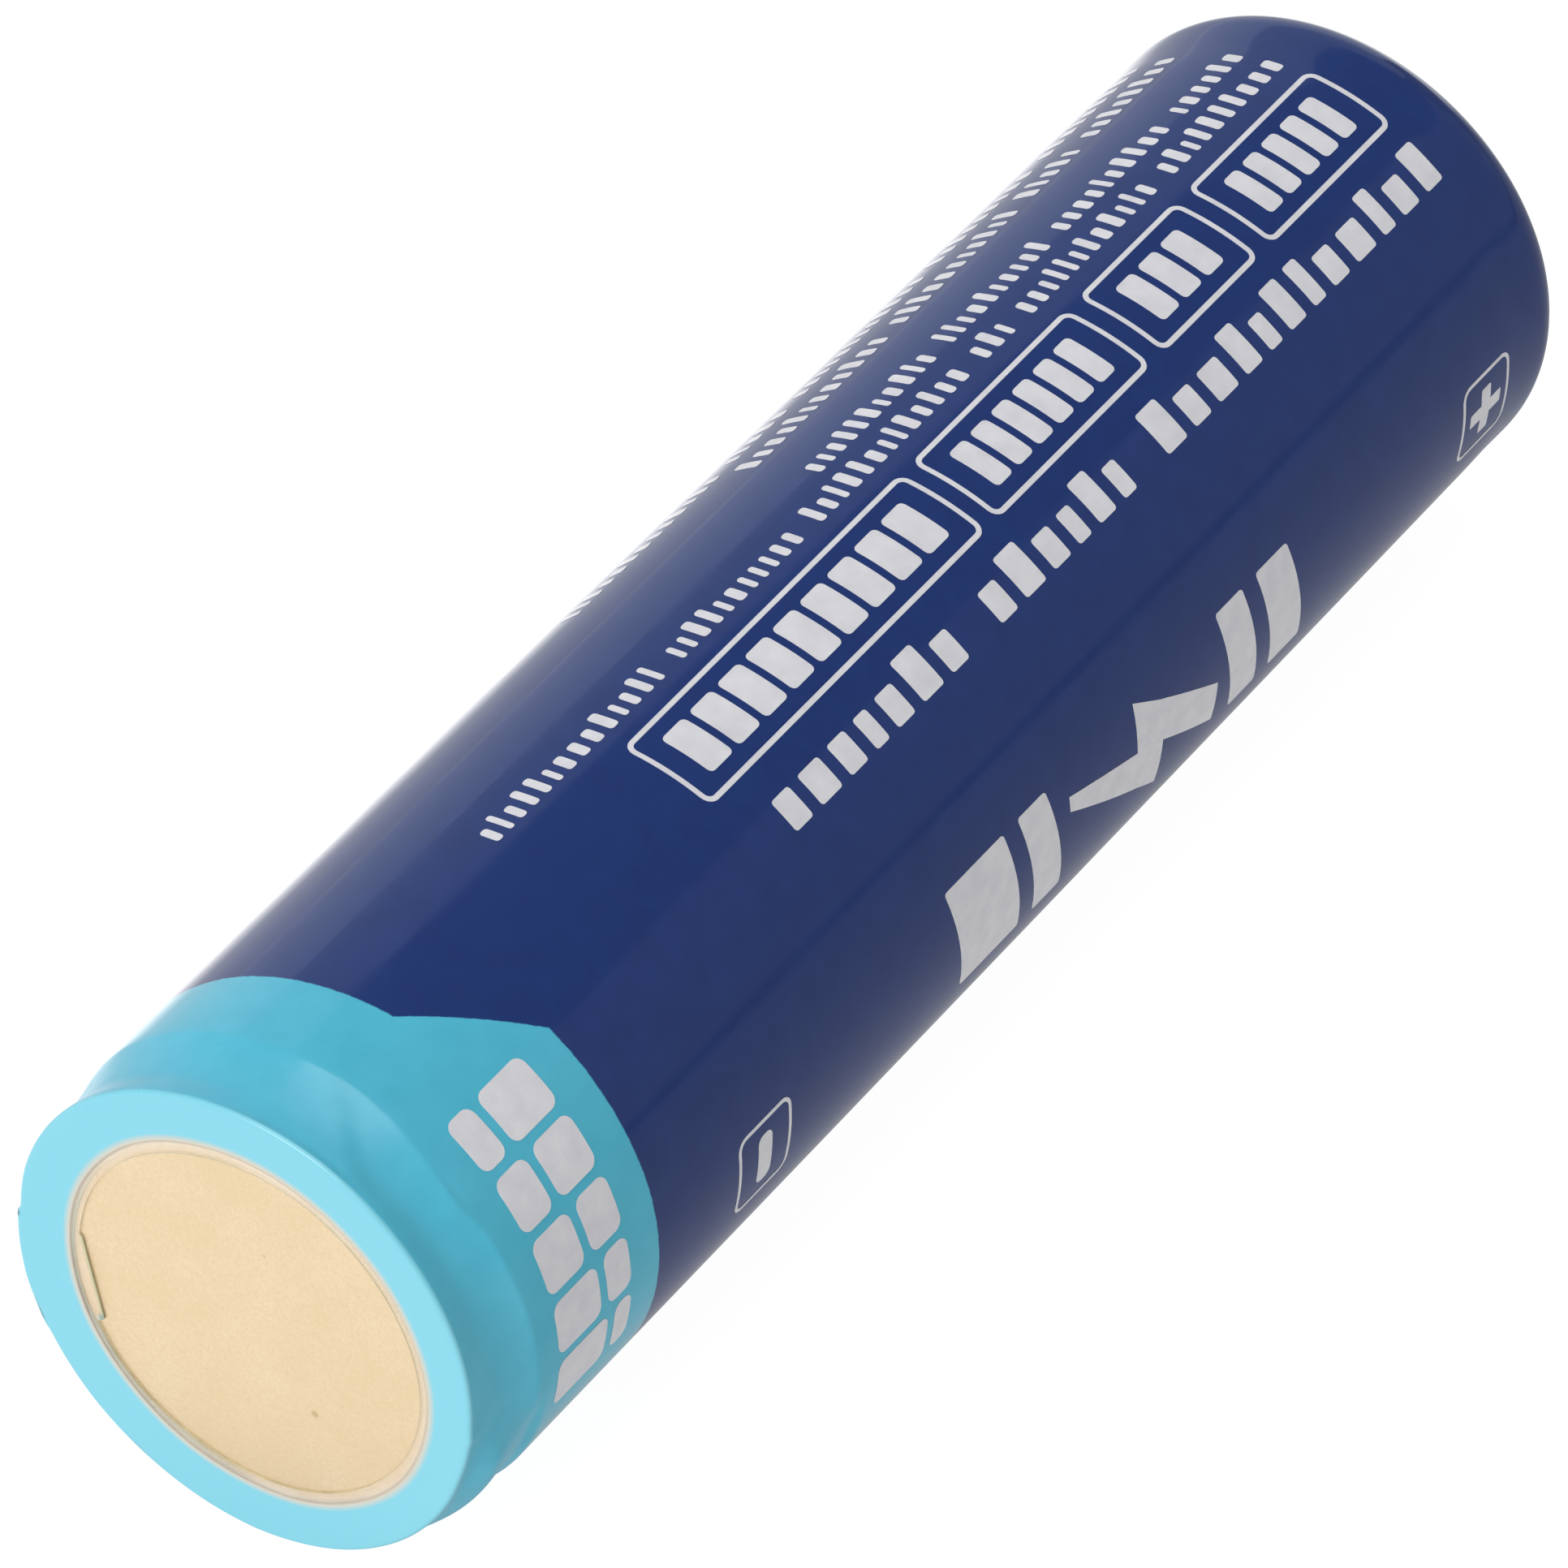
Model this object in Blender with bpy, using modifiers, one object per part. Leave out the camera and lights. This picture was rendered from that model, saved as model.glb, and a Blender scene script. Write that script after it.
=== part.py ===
"""A protected cylindrical lithium-ion cell, size 18650, lying on its side.

The world frame is in metres with +Z up. The cell's axis runs along +X, from the negative contact to the
positive button, and the origin is under the middle of the cell, on the surface it lies on. Every piece is
modelled upright in the cell's own frame, where z = 0 is the negative face and z = LENGTH is the tip of the
button, and hangs from one empty that lays it down. In that frame an angle of 0 faces up when the cell lies
down, and 180 degrees faces the floor.
"""

import math

import bmesh
import bpy
from mathutils import Matrix

MM = 0.001

# Driving dimensions of the whole cell
LENGTH = 68.8 * MM
DIAMETER = 18.4 * MM
AXIS_HEIGHT = DIAMETER / 2
SLEEVE_END = 67.6 * MM
RUNNING_GAP = 0.02 * MM
STACK_GAP = 0.03 * MM

# Facets in one turn: the barrel is rolled by half a facet, so that a flat faces the floor
ROUND_STEPS = 40
SMALL_STEPS = 24
FACET = 2 * math.pi / ROUND_STEPS

# Printed heat-shrink sleeve
SLEEVE_RADIUS = DIAMETER / 2
SLEEVE_WALL = 0.08 * MM
MODULE_RADIUS = 9.02 * MM
MODULE_STEP = (2.3 * MM, 3.3 * MM)
SLEEVE_OPENING_NEGATIVE = 6.7 * MM
SLEEVE_OPENING_POSITIVE = 6.0 * MM
SLEEVE_CORNER_NEGATIVE = 0.2 * MM
SLEEVE_CORNER_POSITIVE = 0.9 * MM

# Steel can
CAN_RADIUS = 8.85 * MM
CAN_BOTTOM = 2.35 * MM
CAN_TOP = 66.85 * MM
CAN_WALL = 0.2 * MM
CAN_FLOOR = 0.3 * MM
CAN_CORNER = 0.8 * MM
CAN_SHOULDER = 0.7 * MM
CAN_LIP_RADIUS = 6.8 * MM
BEAD_HEIGHT = 63.45 * MM
BEAD_DEPTH = 0.75 * MM

# Clear inner sleeve, over the can
INNER_SLEEVE_WALL = 0.06 * MM
INNER_SLEEVE_LIP = 7.65 * MM

# Nickel strip from the positive end to the board, and the tape under it, each centred on a facet
STRIP_ANGLE = 29 * FACET
STRIP_FACETS = 3
STRIP_WALL = 0.08 * MM
STRIP_CORNER = 0.47 * MM
STRIP_ON_CAP = 67.17 * MM
STRIP_ON_BOARD = 1.01 * MM
STRIP_SOLDER_END = 6.1 * MM
STRIP_WELD_END = -2.4 * MM
TAPE_FACETS = 5
TAPE_WALL = 0.05 * MM
TAPE_SPAN = (4.2 * MM, 66.0 * MM)

# Protection board and what is on it
PAD_RADIUS = 8.3 * MM
PAD_SPAN = (0.11 * MM, 0.21 * MM)
PAD_FACE_RADIUS = 6.6 * MM
PAD_FACE = 0.05 * MM
BOARD_RADIUS = 8.5 * MM
BOARD_SPAN = (0.24 * MM, 0.94 * MM)
BOARD_TOP = BOARD_SPAN[1] + STACK_GAP
SPACER_RADII = (7.4 * MM, 8.5 * MM)
SPACER_SPAN = (BOARD_TOP, 2.12 * MM)
SPACER_NOTCH_WIDTH = 4.6 * MM
SPACER_NOTCH_DEPTH = 0.3 * MM
FISH_PAPER_RADII = (3.0 * MM, 7.5 * MM)
FISH_PAPER_SPAN = (2.15 * MM, 2.3 * MM)
LEAD_THICKNESS = 0.15 * MM
LEAD_WIDTH = 0.35 * MM
LINK_WIDTH = 3.0 * MM
LINK_WALL = 0.08 * MM
LINK_ON_CAN = 2.24 * MM
SOLDER_RADIUS = 0.8 * MM
SOLDER_HEIGHT = 0.4 * MM

# Wound roll of electrodes, with fewer and thicker turns than the real foils
ROLL_INNER = 1.95 * MM
ROLL_PITCH = 0.89 * MM
ROLL_STEPS = 20
ELECTRODE_WALL = 0.27 * MM
SEPARATOR_WALL = 0.09 * MM
ROLL_OUTER_LIMIT = 8.3 * MM
ROLL_INSULATOR_WALL = 0.2 * MM
BOTTOM_INSULATOR = 2.85 * MM
TOP_INSULATOR = 60.8 * MM
TAB_WIDTH = 2.4 * MM
TAB_WALL = 0.08 * MM

# Closure: gasket, cap and the current interrupter under it
GASKET_SPAN = (64.4 * MM, 66.6 * MM)
GASKET_LIP = 0.4 * MM
GASKET_RADII = (7.0 * MM, 8.15 * MM, 8.6 * MM)
CLOSURE_RADIUS = 8.05 * MM
VENT_RIM = (64.83 * MM, 65.15 * MM)
PTC_SPAN = (65.19 * MM, 65.59 * MM)
PTC_RADII = (5.3 * MM, CLOSURE_RADIUS)
CAP_FLANGE = (65.63 * MM, 66.13 * MM)
CAP_TOP = 67.1 * MM
CAP_BOSS_RADIUS = 5.0 * MM
CAP_WALL = 0.35 * MM
CID_RING_RADII = (3.4 * MM, 5.0 * MM)
CID_RING_SPAN = (64.12 * MM, 64.46 * MM)
CID_PLATE_RADIUS = 4.9 * MM
CID_PLATE_SPAN = (63.75 * MM, 64.09 * MM)

# Positive end, outside the can
CRIMP_RING_RADII = (5.2 * MM, 8.5 * MM)
CRIMP_RING_SPAN = (66.96 * MM, 67.09 * MM)
COVER_RING_RADII = (4.1 * MM, 7.4 * MM)
COVER_RING_SPAN = (67.24 * MM, 67.49 * MM)
BUTTON_RADIUS = 2.8 * MM
BUTTON_FLANGE_RADIUS = 3.9 * MM
BUTTON_BASE = 67.24 * MM
BUTTON_WALL = 0.25 * MM


def clear_scene():
    """Remove every object, so that the script starts from nothing."""
    for obj in list(bpy.data.objects):
        bpy.data.objects.remove(obj, do_unlink=True)


def new_collection(name):
    """A collection linked to the scene."""
    collection = bpy.data.collections.new(name)
    bpy.context.scene.collection.children.link(collection)
    return collection


def material(name, colour, roughness, metallic=0.0):
    """A Principled BSDF with one colour."""
    result = bpy.data.materials.new(name)
    result.use_nodes = True
    shader = result.node_tree.nodes["Principled BSDF"]
    shader.inputs["Base Color"].default_value = (*colour, 1.0)
    shader.inputs["Roughness"].default_value = roughness
    shader.inputs["Metallic"].default_value = metallic
    return result


def add_object(name, data, collection, parent, roll=0.0):
    """Put data in the scene under a name, hung from parent and rolled about the cell's axis."""
    obj = bpy.data.objects.new(name, data)
    collection.objects.link(obj)
    obj.parent = parent
    obj.rotation_euler = (0.0, 0.0, roll)
    return obj


class Cell:
    """The collections and the empty that every piece of the cell hangs from."""

    def __init__(self):
        self.parts = new_collection("cylindrical_battery_cell")
        self.cutters = new_collection("cutters")
        self.axis = bpy.data.objects.new("cell_axis", None)
        self.axis.location = (-LENGTH / 2, 0.0, AXIS_HEIGHT)
        self.axis.rotation_euler = (math.pi, -math.pi / 2, 0.0)
        self.parts.objects.link(self.axis)

    def piece(self, name, data, finish, roll=0.0):
        """A piece of the cell, in its own material."""
        data.materials.append(finish)
        return add_object(name, data, self.parts, self.axis, roll)

    def cutter(self, name, data, roll=0.0):
        """A solid that only cuts or joins other pieces."""
        obj = add_object(name, data, self.cutters, self.axis, roll)
        obj.hide_render = True
        obj.display_type = "WIRE"
        return obj


def flat_radius(radius, steps=ROUND_STEPS):
    """The corner radius of a regular polygon whose flats lie at the given radius."""
    return radius / math.cos(math.pi / steps)


def arc(centre, radius, start, end, points=3):
    """Points on a circle in the profile plane, from one angle to another in degrees."""
    angles = [math.radians(start + (end - start) * k / (points - 1)) for k in range(points)]
    return [(centre[0] + radius * math.cos(a), centre[1] + radius * math.sin(a)) for a in angles]


def clockwise(points):
    """The profile in the order that runs down its outer side."""
    pairs = zip(points, points[1:] + points[:1])
    area = sum(a[0] * b[1] - b[0] * a[1] for a, b in pairs)
    return points if area < 0 else points[::-1]


def turned(cell, name, profile, finish, steps=ROUND_STEPS):
    """A turned piece: a profile of (radius, height) points with a Screw modifier.

    A profile that starts and ends on the axis is left open there, and any other is closed.
    """
    on_axis = profile[0][0] == 0.0 and profile[-1][0] == 0.0
    points = clockwise(profile)
    mesh = bpy.data.meshes.new(name)
    verts = [(flat_radius(radius, steps), 0.0, height) for radius, height in points]
    edges = [(k, k + 1) for k in range(len(points) - 1)]
    if not on_axis:
        edges.append((len(points) - 1, 0))
    mesh.from_pydata(verts, edges, [])
    obj = cell.piece(name, mesh, finish, roll=math.pi / steps)
    screw = obj.modifiers.new("turn", "SCREW")
    screw.steps = steps
    screw.render_steps = steps
    screw.use_merge_vertices = True
    screw.merge_threshold = 0.000001
    screw.use_smooth_shade = True
    return obj


def ring(cell, name, radii, span, finish, steps=ROUND_STEPS):
    """A flat washer between two radii and two heights."""
    profile = [(radii[0], span[0]), (radii[1], span[0]), (radii[1], span[1]), (radii[0], span[1])]
    return turned(cell, name, profile, finish, steps)


def disc(cell, name, radius, span, finish, steps=ROUND_STEPS):
    """A plain disc between two heights."""
    mesh = bpy.data.meshes.new(name)
    shape = bmesh.new()
    middle = Matrix.Translation((0.0, 0.0, (span[0] + span[1]) / 2))
    bmesh.ops.create_cone(
        shape,
        cap_ends=True,
        segments=steps,
        radius1=flat_radius(radius, steps),
        radius2=flat_radius(radius, steps),
        depth=span[1] - span[0],
        matrix=middle,
    )
    shape.to_mesh(mesh)
    shape.free()
    return cell.piece(name, mesh, finish, roll=math.pi / steps)


def box_mesh(name, boxes):
    """A mesh of boxes, each given by its size, its centre and its turn about the cell's axis."""
    mesh = bpy.data.meshes.new(name)
    shape = bmesh.new()
    for size, centre, turn in boxes:
        place = Matrix.Rotation(turn, 4, "Z") @ Matrix.Translation(centre) @ Matrix.Diagonal((*size, 1.0))
        bmesh.ops.create_cube(shape, size=1.0, matrix=place)
    shape.to_mesh(mesh)
    shape.free()
    return mesh


def boolean(obj, cutter, operation="DIFFERENCE"):
    """Cut or join one solid with another."""
    modifier = obj.modifiers.new("boolean", "BOOLEAN")
    modifier.operation = operation
    modifier.object = cutter
    return modifier


def bevel(obj, width, segments=1):
    """Round the sharp edges of a solid."""
    modifier = obj.modifiers.new("rounded_edges", "BEVEL")
    modifier.width = width
    modifier.segments = segments
    modifier.limit_method = "ANGLE"
    return modifier


def solidify(obj, thickness):
    """Give an open sheet its thickness, half on each side."""
    modifier = obj.modifiers.new("wall", "SOLIDIFY")
    modifier.thickness = thickness
    modifier.offset = 0.0
    modifier.use_even_offset = True
    return modifier


def sheet_mesh(name, rows):
    """An open sheet through rows of points, each row as long as the first."""
    mesh = bpy.data.meshes.new(name)
    columns = len(rows[0])
    verts = [point for row in rows for point in row]
    faces = []
    for i in range(len(rows) - 1):
        for j in range(columns - 1):
            first = i * columns + j
            faces.append((first, first + 1, first + columns + 1, first + columns))
    mesh.from_pydata(verts, [], faces)
    return mesh


def ribbon(cell, name, path, width, thickness, finish, roll=0.0):
    """A flat bent ribbon: a path of (x, z) points, as wide as given across the path."""
    rows = [[(x, -width / 2, z), (x, width / 2, z)] for x, z in path]
    obj = cell.piece(name, sheet_mesh(name, rows), finish, roll)
    solidify(obj, thickness)
    return obj


def sector(cell, name, radii, facets, middle, span, finish):
    """A piece of a tube as an extruded outline. It covers an odd number of the barrel's facets."""
    angles = [middle + (k - facets / 2) * FACET for k in range(facets + 1)]
    inner, outer = (flat_radius(radius) for radius in radii)
    outline = [(outer * math.cos(a), outer * math.sin(a)) for a in angles]
    outline += [(inner * math.cos(a), inner * math.sin(a)) for a in reversed(angles)]
    curve = bpy.data.curves.new(name, "CURVE")
    curve.dimensions = "2D"
    curve.fill_mode = "BOTH"
    curve.extrude = (span[1] - span[0]) / 2
    spline = curve.splines.new("POLY")
    spline.points.add(len(outline) - 1)
    for point, (x, y) in zip(spline.points, outline):
        point.co = (x, y, 0.0, 1.0)
    spline.use_cyclic_u = True
    obj = cell.piece(name, curve, finish)
    obj.location = (0.0, 0.0, (span[0] + span[1]) / 2)
    return obj


def sleeve_line(inset):
    """The printed sleeve's outer profile, moved in by a distance, from its negative to its positive edge."""
    negative = SLEEVE_CORNER_NEGATIVE
    positive = SLEEVE_CORNER_POSITIVE
    low_centre = (MODULE_RADIUS - negative, negative)
    high_centre = (SLEEVE_RADIUS - positive, SLEEVE_END - positive)
    line = [(SLEEVE_OPENING_NEGATIVE, inset)]
    line += arc(low_centre, negative - inset, -90, 0)
    line += [(MODULE_RADIUS - inset, MODULE_STEP[0]), (SLEEVE_RADIUS - inset, MODULE_STEP[1])]
    line += arc(high_centre, positive - inset, 0, 90, 4)
    line += [(SLEEVE_OPENING_POSITIVE, SLEEVE_END - inset)]
    return line


def outer_sleeve(cell):
    """Printed heat-shrink film, turned in over both ends."""
    profile = sleeve_line(0.0) + sleeve_line(SLEEVE_WALL)[::-1]
    turned(cell, "outer_sleeve", profile, material("navy_film", (0.02, 0.035, 0.15), 0.25))


def can_line(inset, floor, lip):
    """A line that follows the can from the middle of its floor, or from a lip, up to its top lip."""
    radius = CAN_RADIUS - inset
    low_centre = (CAN_RADIUS - CAN_CORNER, CAN_BOTTOM + CAN_CORNER)
    high_centre = (CAN_RADIUS - CAN_SHOULDER, CAN_TOP - CAN_SHOULDER)
    line = arc(low_centre, CAN_CORNER - inset, -90, 0)
    line = [(r, max(z, floor)) for r, z in line]
    if inset >= 0:
        half = BEAD_DEPTH
        line.append((radius, BEAD_HEIGHT - half))
        line.append((radius - 0.75 * BEAD_DEPTH, BEAD_HEIGHT - 0.4 * half))
        line.append((radius - BEAD_DEPTH, BEAD_HEIGHT))
        line.append((radius - 0.75 * BEAD_DEPTH, BEAD_HEIGHT + 0.4 * half))
        line.append((radius, BEAD_HEIGHT + half))
    line += arc(high_centre, CAN_SHOULDER - inset, 0, 90)
    line.append((lip, CAN_TOP - inset))
    return line


def cell_can(cell):
    """Deep-drawn steel can, beaded under the closure and crimped over the gasket."""
    outside = [(0.0, CAN_BOTTOM)] + can_line(0.0, CAN_BOTTOM, CAN_LIP_RADIUS)
    inside = [(0.0, CAN_BOTTOM + CAN_FLOOR)] + can_line(CAN_WALL, CAN_BOTTOM + CAN_FLOOR, CAN_LIP_RADIUS)
    steel = material("nickel_plated_steel", (0.62, 0.61, 0.58), 0.3, 1.0)
    turned(cell, "cell_can", outside + inside[::-1], steel)


def inner_sleeve(cell):
    """Clear film over the can, which insulates it from the positive strip."""
    near = -RUNNING_GAP
    far = near - INNER_SLEEVE_WALL
    inside = [(INNER_SLEEVE_LIP, CAN_BOTTOM + near)] + can_line(near, -LENGTH, INNER_SLEEVE_LIP)
    outside = [(INNER_SLEEVE_LIP, CAN_BOTTOM + far)] + can_line(far, -LENGTH, INNER_SLEEVE_LIP)
    turned(cell, "inner_sleeve", inside + outside[::-1], material("clear_film", (0.82, 0.85, 0.88), 0.2))


def strip_path():
    """The nickel strip's middle line as (radius, height) points, from the board to the weld on the cap."""
    module = MODULE_RADIUS - SLEEVE_WALL - RUNNING_GAP - STRIP_WALL / 2
    barrel = SLEEVE_RADIUS - SLEEVE_WALL - RUNNING_GAP - STRIP_WALL / 2
    path = [(STRIP_SOLDER_END, STRIP_ON_BOARD), (module, STRIP_ON_BOARD)]
    path += [(module, MODULE_STEP[0]), (barrel, MODULE_STEP[1])]
    path += arc((barrel - STRIP_CORNER, STRIP_ON_CAP - STRIP_CORNER), STRIP_CORNER, 0, 90, 4)
    path.append((STRIP_WELD_END, STRIP_ON_CAP))
    return path


def positive_strip(cell):
    """Nickel strip that carries the positive terminal to the board, outside the can.

    Along the barrel its corners lie on the barrel's own facet edges, so that it keeps the same gap to the
    films all the way across, and its flat ends keep the same width.
    """
    edges = [(k - STRIP_FACETS / 2) * FACET for k in range(STRIP_FACETS + 1)]
    rows = []
    for radius, height in strip_path():
        row = []
        for edge in edges:
            corner = flat_radius(SLEEVE_RADIUS - SLEEVE_WALL)
            across = corner * math.sin(edge)
            if radius > CAN_RADIUS:
                flat = flat_radius(radius)
                row.append((flat * math.cos(edge), flat * math.sin(edge), height))
            else:
                row.append((radius, across, height))
        rows.append(row)
    obj = cell.piece("positive_strip", sheet_mesh("positive_strip", rows), nickel(), roll=STRIP_ANGLE)
    solidify(obj, STRIP_WALL)


def strip_insulating_tape(cell):
    """Polyimide tape between the strip and the can's own film."""
    low = CAN_RADIUS + 2 * RUNNING_GAP + INNER_SLEEVE_WALL
    amber = material("polyimide_tape", (0.75, 0.36, 0.05), 0.3)
    sector(cell, "strip_insulating_tape", (low, low + TAPE_WALL), TAPE_FACETS, STRIP_ANGLE, TAPE_SPAN, amber)


def nickel():
    """Bright nickel of the strips and tabs."""
    return material("nickel_strip", (0.72, 0.71, 0.68), 0.28, 1.0)


def fibre_paper(name):
    """Insulating fibre paper."""
    return material(name, (0.78, 0.76, 0.70), 0.8)


def negative_contact_pad(cell):
    """Gold-plated contact: its face fills the film's opening and its wide rim is held under the film."""
    low, high = PAD_SPAN
    profile = [(0.0, PAD_FACE), (PAD_FACE_RADIUS, PAD_FACE), (PAD_FACE_RADIUS, low)]
    profile += [(PAD_RADIUS, low), (PAD_RADIUS, high), (0.0, high)]
    turned(cell, "negative_contact_pad", profile, material("gold_plate", (0.87, 0.68, 0.42), 0.4, 1.0))


def board(cell):
    """Round protection board and the ring that spaces it off the can."""
    glass_epoxy = material("glass_epoxy_board", (0.03, 0.18, 0.07), 0.5)
    disc(cell, "protection_board", BOARD_RADIUS, BOARD_SPAN, glass_epoxy)
    plastic = material("spacer_plastic", (0.8, 0.8, 0.8), 0.5)
    spacer = ring(cell, "board_spacer_ring", SPACER_RADII, SPACER_SPAN, plastic)
    height = SPACER_NOTCH_DEPTH + 2 * STACK_GAP
    size = (4 * (SPACER_RADII[1] - SPACER_RADII[0]), SPACER_NOTCH_WIDTH, height)
    centre = (SPACER_RADII[1], 0.0, BOARD_TOP + SPACER_NOTCH_DEPTH - height / 2)
    notch = cell.cutter("spacer_notch", box_mesh("spacer_notch", [(size, centre, STRIP_ANGLE)]))
    boolean(spacer, notch)
    fibre = fibre_paper("bottom_fibre_paper")
    ring(cell, "bottom_insulating_disc", FISH_PAPER_RADII, FISH_PAPER_SPAN, fibre)


def chip(cell, name, body, span, leads, pitch, place):
    """A flat-lead package on the board: a moulded body over leads that reach out on both sides along x."""
    x, y = place
    lift = 0.05 * MM
    size = (body[0], body[1], body[2] - lift)
    centre = (x, y, BOARD_TOP + lift + size[2] / 2)
    epoxy = material(name + "_epoxy", (0.02, 0.02, 0.022), 0.45)
    obj = cell.piece(name, box_mesh(name, [(size, centre, 0.0)]), epoxy)
    bevel(obj, 0.08 * MM)
    rows = [y + (k - (leads - 1) / 2) * pitch for k in range(leads)]
    lead = (span, LEAD_WIDTH, LEAD_THICKNESS)
    boxes = [(lead, (x, row, BOARD_TOP + LEAD_THICKNESS / 2), 0.0) for row in rows]
    boolean(obj, cell.cutter(name + "_leads", box_mesh(name + "_leads", boxes)), "UNION")


def passive(cell, name, height, colour, place):
    """A resistor or capacitor in a small rectangular chip."""
    size = (1.6 * MM, 0.8 * MM, height)
    centre = (*place, BOARD_TOP + height / 2)
    obj = cell.piece(name, box_mesh(name, [(size, centre, 0.0)]), material(name + "_body", colour, 0.4))
    bevel(obj, 0.06 * MM)


def solder_joint(cell, name, place, height):
    """A low dome of solder on the end of a strip."""
    profile = [(0.0, 0.0)]
    profile += arc((0.0, 0.0), 1.0, 0, 90, 4)
    profile[-1] = (0.0, 1.0)
    profile = [(SOLDER_RADIUS * r, SOLDER_HEIGHT * z) for r, z in profile]
    tin = material(name + "_tin", (0.75, 0.75, 0.74), 0.25, 1.0)
    obj = turned(cell, name, profile, tin, steps=SMALL_STEPS // 2)
    obj.location = (*place, height)


def board_components(cell):
    """The battery protection circuit: a control chip, two switch packages and three small chips."""
    chip(cell, "protection_ic", (1.6 * MM, 2.9 * MM, 1.05 * MM), 2.8 * MM, 3, 0.95 * MM, (-4.9 * MM, 0.0))
    switch = ((4.4 * MM, 3.0 * MM, 0.95 * MM), 6.4 * MM, 4, 0.65 * MM)
    chip(cell, "mosfet_a", *switch, (-0.6 * MM, 4.3 * MM))
    chip(cell, "mosfet_b", *switch, (-0.6 * MM, -3.7 * MM))
    passive(cell, "sense_resistor", 0.45 * MM, (0.03, 0.03, 0.035), (5.2 * MM, 3.2 * MM))
    passive(cell, "supply_resistor", 0.45 * MM, (0.03, 0.03, 0.035), (4.6 * MM, -3.4 * MM))
    passive(cell, "filter_capacitor", 0.8 * MM, (0.45, 0.30, 0.18), (-1.6 * MM, 1.0 * MM))
    radius = (STRIP_SOLDER_END + SPACER_RADII[0]) / 2
    place = (radius * math.cos(STRIP_ANGLE), radius * math.sin(STRIP_ANGLE))
    top = STRIP_ON_BOARD + STRIP_WALL / 2 + STACK_GAP
    solder_joint(cell, "solder_joint_positive", place, top)
    solder_joint(cell, "solder_joint_negative", (4.6 * MM, 0.0), top)


def negative_link_tab(cell):
    """Nickel link from the weld on the can's floor down to the board."""
    path = [(-2.0 * MM, LINK_ON_CAN), (2.0 * MM, LINK_ON_CAN)]
    path += arc((2.0 * MM, LINK_ON_CAN - 0.4 * MM), 0.4 * MM, 90, 0)[1:]
    path += arc((2.8 * MM, STRIP_ON_BOARD + 0.4 * MM), 0.4 * MM, 180, 270)
    path.append((5.6 * MM, STRIP_ON_BOARD))
    ribbon(cell, "negative_link_tab", path, LINK_WIDTH, LINK_WALL, nickel())


def spiral_sheet(cell, name, offset, thickness, turns, span, finish):
    """One wound foil: an open sheet along a spiral, from one turn count to another."""
    first = round(turns[0] * ROLL_STEPS)
    last = round(turns[1] * ROLL_STEPS)
    rows = []
    for k in range(first, last + 1):
        angle = 2 * math.pi * k / ROLL_STEPS
        radius = ROLL_INNER + offset + ROLL_PITCH * k / ROLL_STEPS
        x, y = radius * math.cos(angle), radius * math.sin(angle)
        rows.append([(x, y, span[0]), (x, y, span[1])])
    obj = cell.piece(name, sheet_mesh(name, rows), finish)
    solidify(obj, thickness)


def wound_roll(cell):
    """Cathode, anode and two separators wound together, and the tape that closes the roll."""
    quarter = ROLL_PITCH / 4
    separator = material("separator_film", (0.85, 0.86, 0.86), 0.6)
    cathode = material("cathode_coating", (0.035, 0.035, 0.04), 0.7)
    anode = material("anode_coating", (0.09, 0.09, 0.095), 0.65)
    film_span = (3.15 * MM, 60.6 * MM)
    spiral_sheet(cell, "separator_inner", 0.0, SEPARATOR_WALL, (0.0, 6.55), film_span, separator)
    spiral_sheet(cell, "cathode", quarter, ELECTRODE_WALL, (0.5, 6.4), (4.2 * MM, 59.6 * MM), cathode)
    spiral_sheet(cell, "separator_outer", 2 * quarter, SEPARATOR_WALL, (0.0, 6.55), film_span, separator)
    spiral_sheet(cell, "anode", 3 * quarter, ELECTRODE_WALL, (0.25, 6.2), (3.7 * MM, 60.1 * MM), anode)
    closing = material("closing_tape", (0.55, 0.40, 0.12), 0.35)
    tape = (ROLL_OUTER_LIMIT + 3 * RUNNING_GAP, ROLL_OUTER_LIMIT + 3 * RUNNING_GAP + TAPE_WALL)
    sector(cell, "roll_closing_tape", tape, TAPE_FACETS, math.pi / 2, (8.0 * MM, 56.0 * MM), closing)


def roll_insulators_and_tabs(cell):
    """Insulating washers above and below the roll, and the tabs that leave it."""
    low = (BOTTOM_INSULATOR, BOTTOM_INSULATOR + ROLL_INSULATOR_WALL)
    high = (TOP_INSULATOR, TOP_INSULATOR + ROLL_INSULATOR_WALL)
    ring(cell, "bottom_roll_insulator", (1.5 * MM, 8.1 * MM), low, fibre_paper("bottom_washer"))
    ring(cell, "top_roll_insulator", (5.2 * MM, 8.4 * MM), high, fibre_paper("top_washer"))
    floor = CAN_BOTTOM + CAN_FLOOR + STACK_GAP + TAB_WALL / 2
    wall = 8.44 * MM
    path = [(-2.0 * MM, floor), (wall - 0.6 * MM, floor)]
    path += arc((wall - 0.6 * MM, floor + 0.6 * MM), 0.6 * MM, -90, 0)[1:]
    path.append((wall, 14.0 * MM))
    ribbon(cell, "negative_tab", path, TAB_WIDTH, TAB_WALL, nickel(), roll=math.radians(200))
    aluminium = material("aluminium_tab", (0.80, 0.80, 0.81), 0.3, 1.0)
    path = [(4.6 * MM, 60.7 * MM), (4.6 * MM, 61.9 * MM)]
    path += arc((4.2 * MM, 61.9 * MM), 0.4 * MM, 0, 90)[1:]
    path += arc((-2.2 * MM, 62.65 * MM), 0.35 * MM, 270, 90, 5)
    path += [(-1.2 * MM, 63.0 * MM), (0.4 * MM, 63.65 * MM), (2.6 * MM, 63.65 * MM)]
    ribbon(cell, "positive_tab", path, TAB_WIDTH, TAB_WALL, aluminium, roll=math.radians(40))


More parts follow.
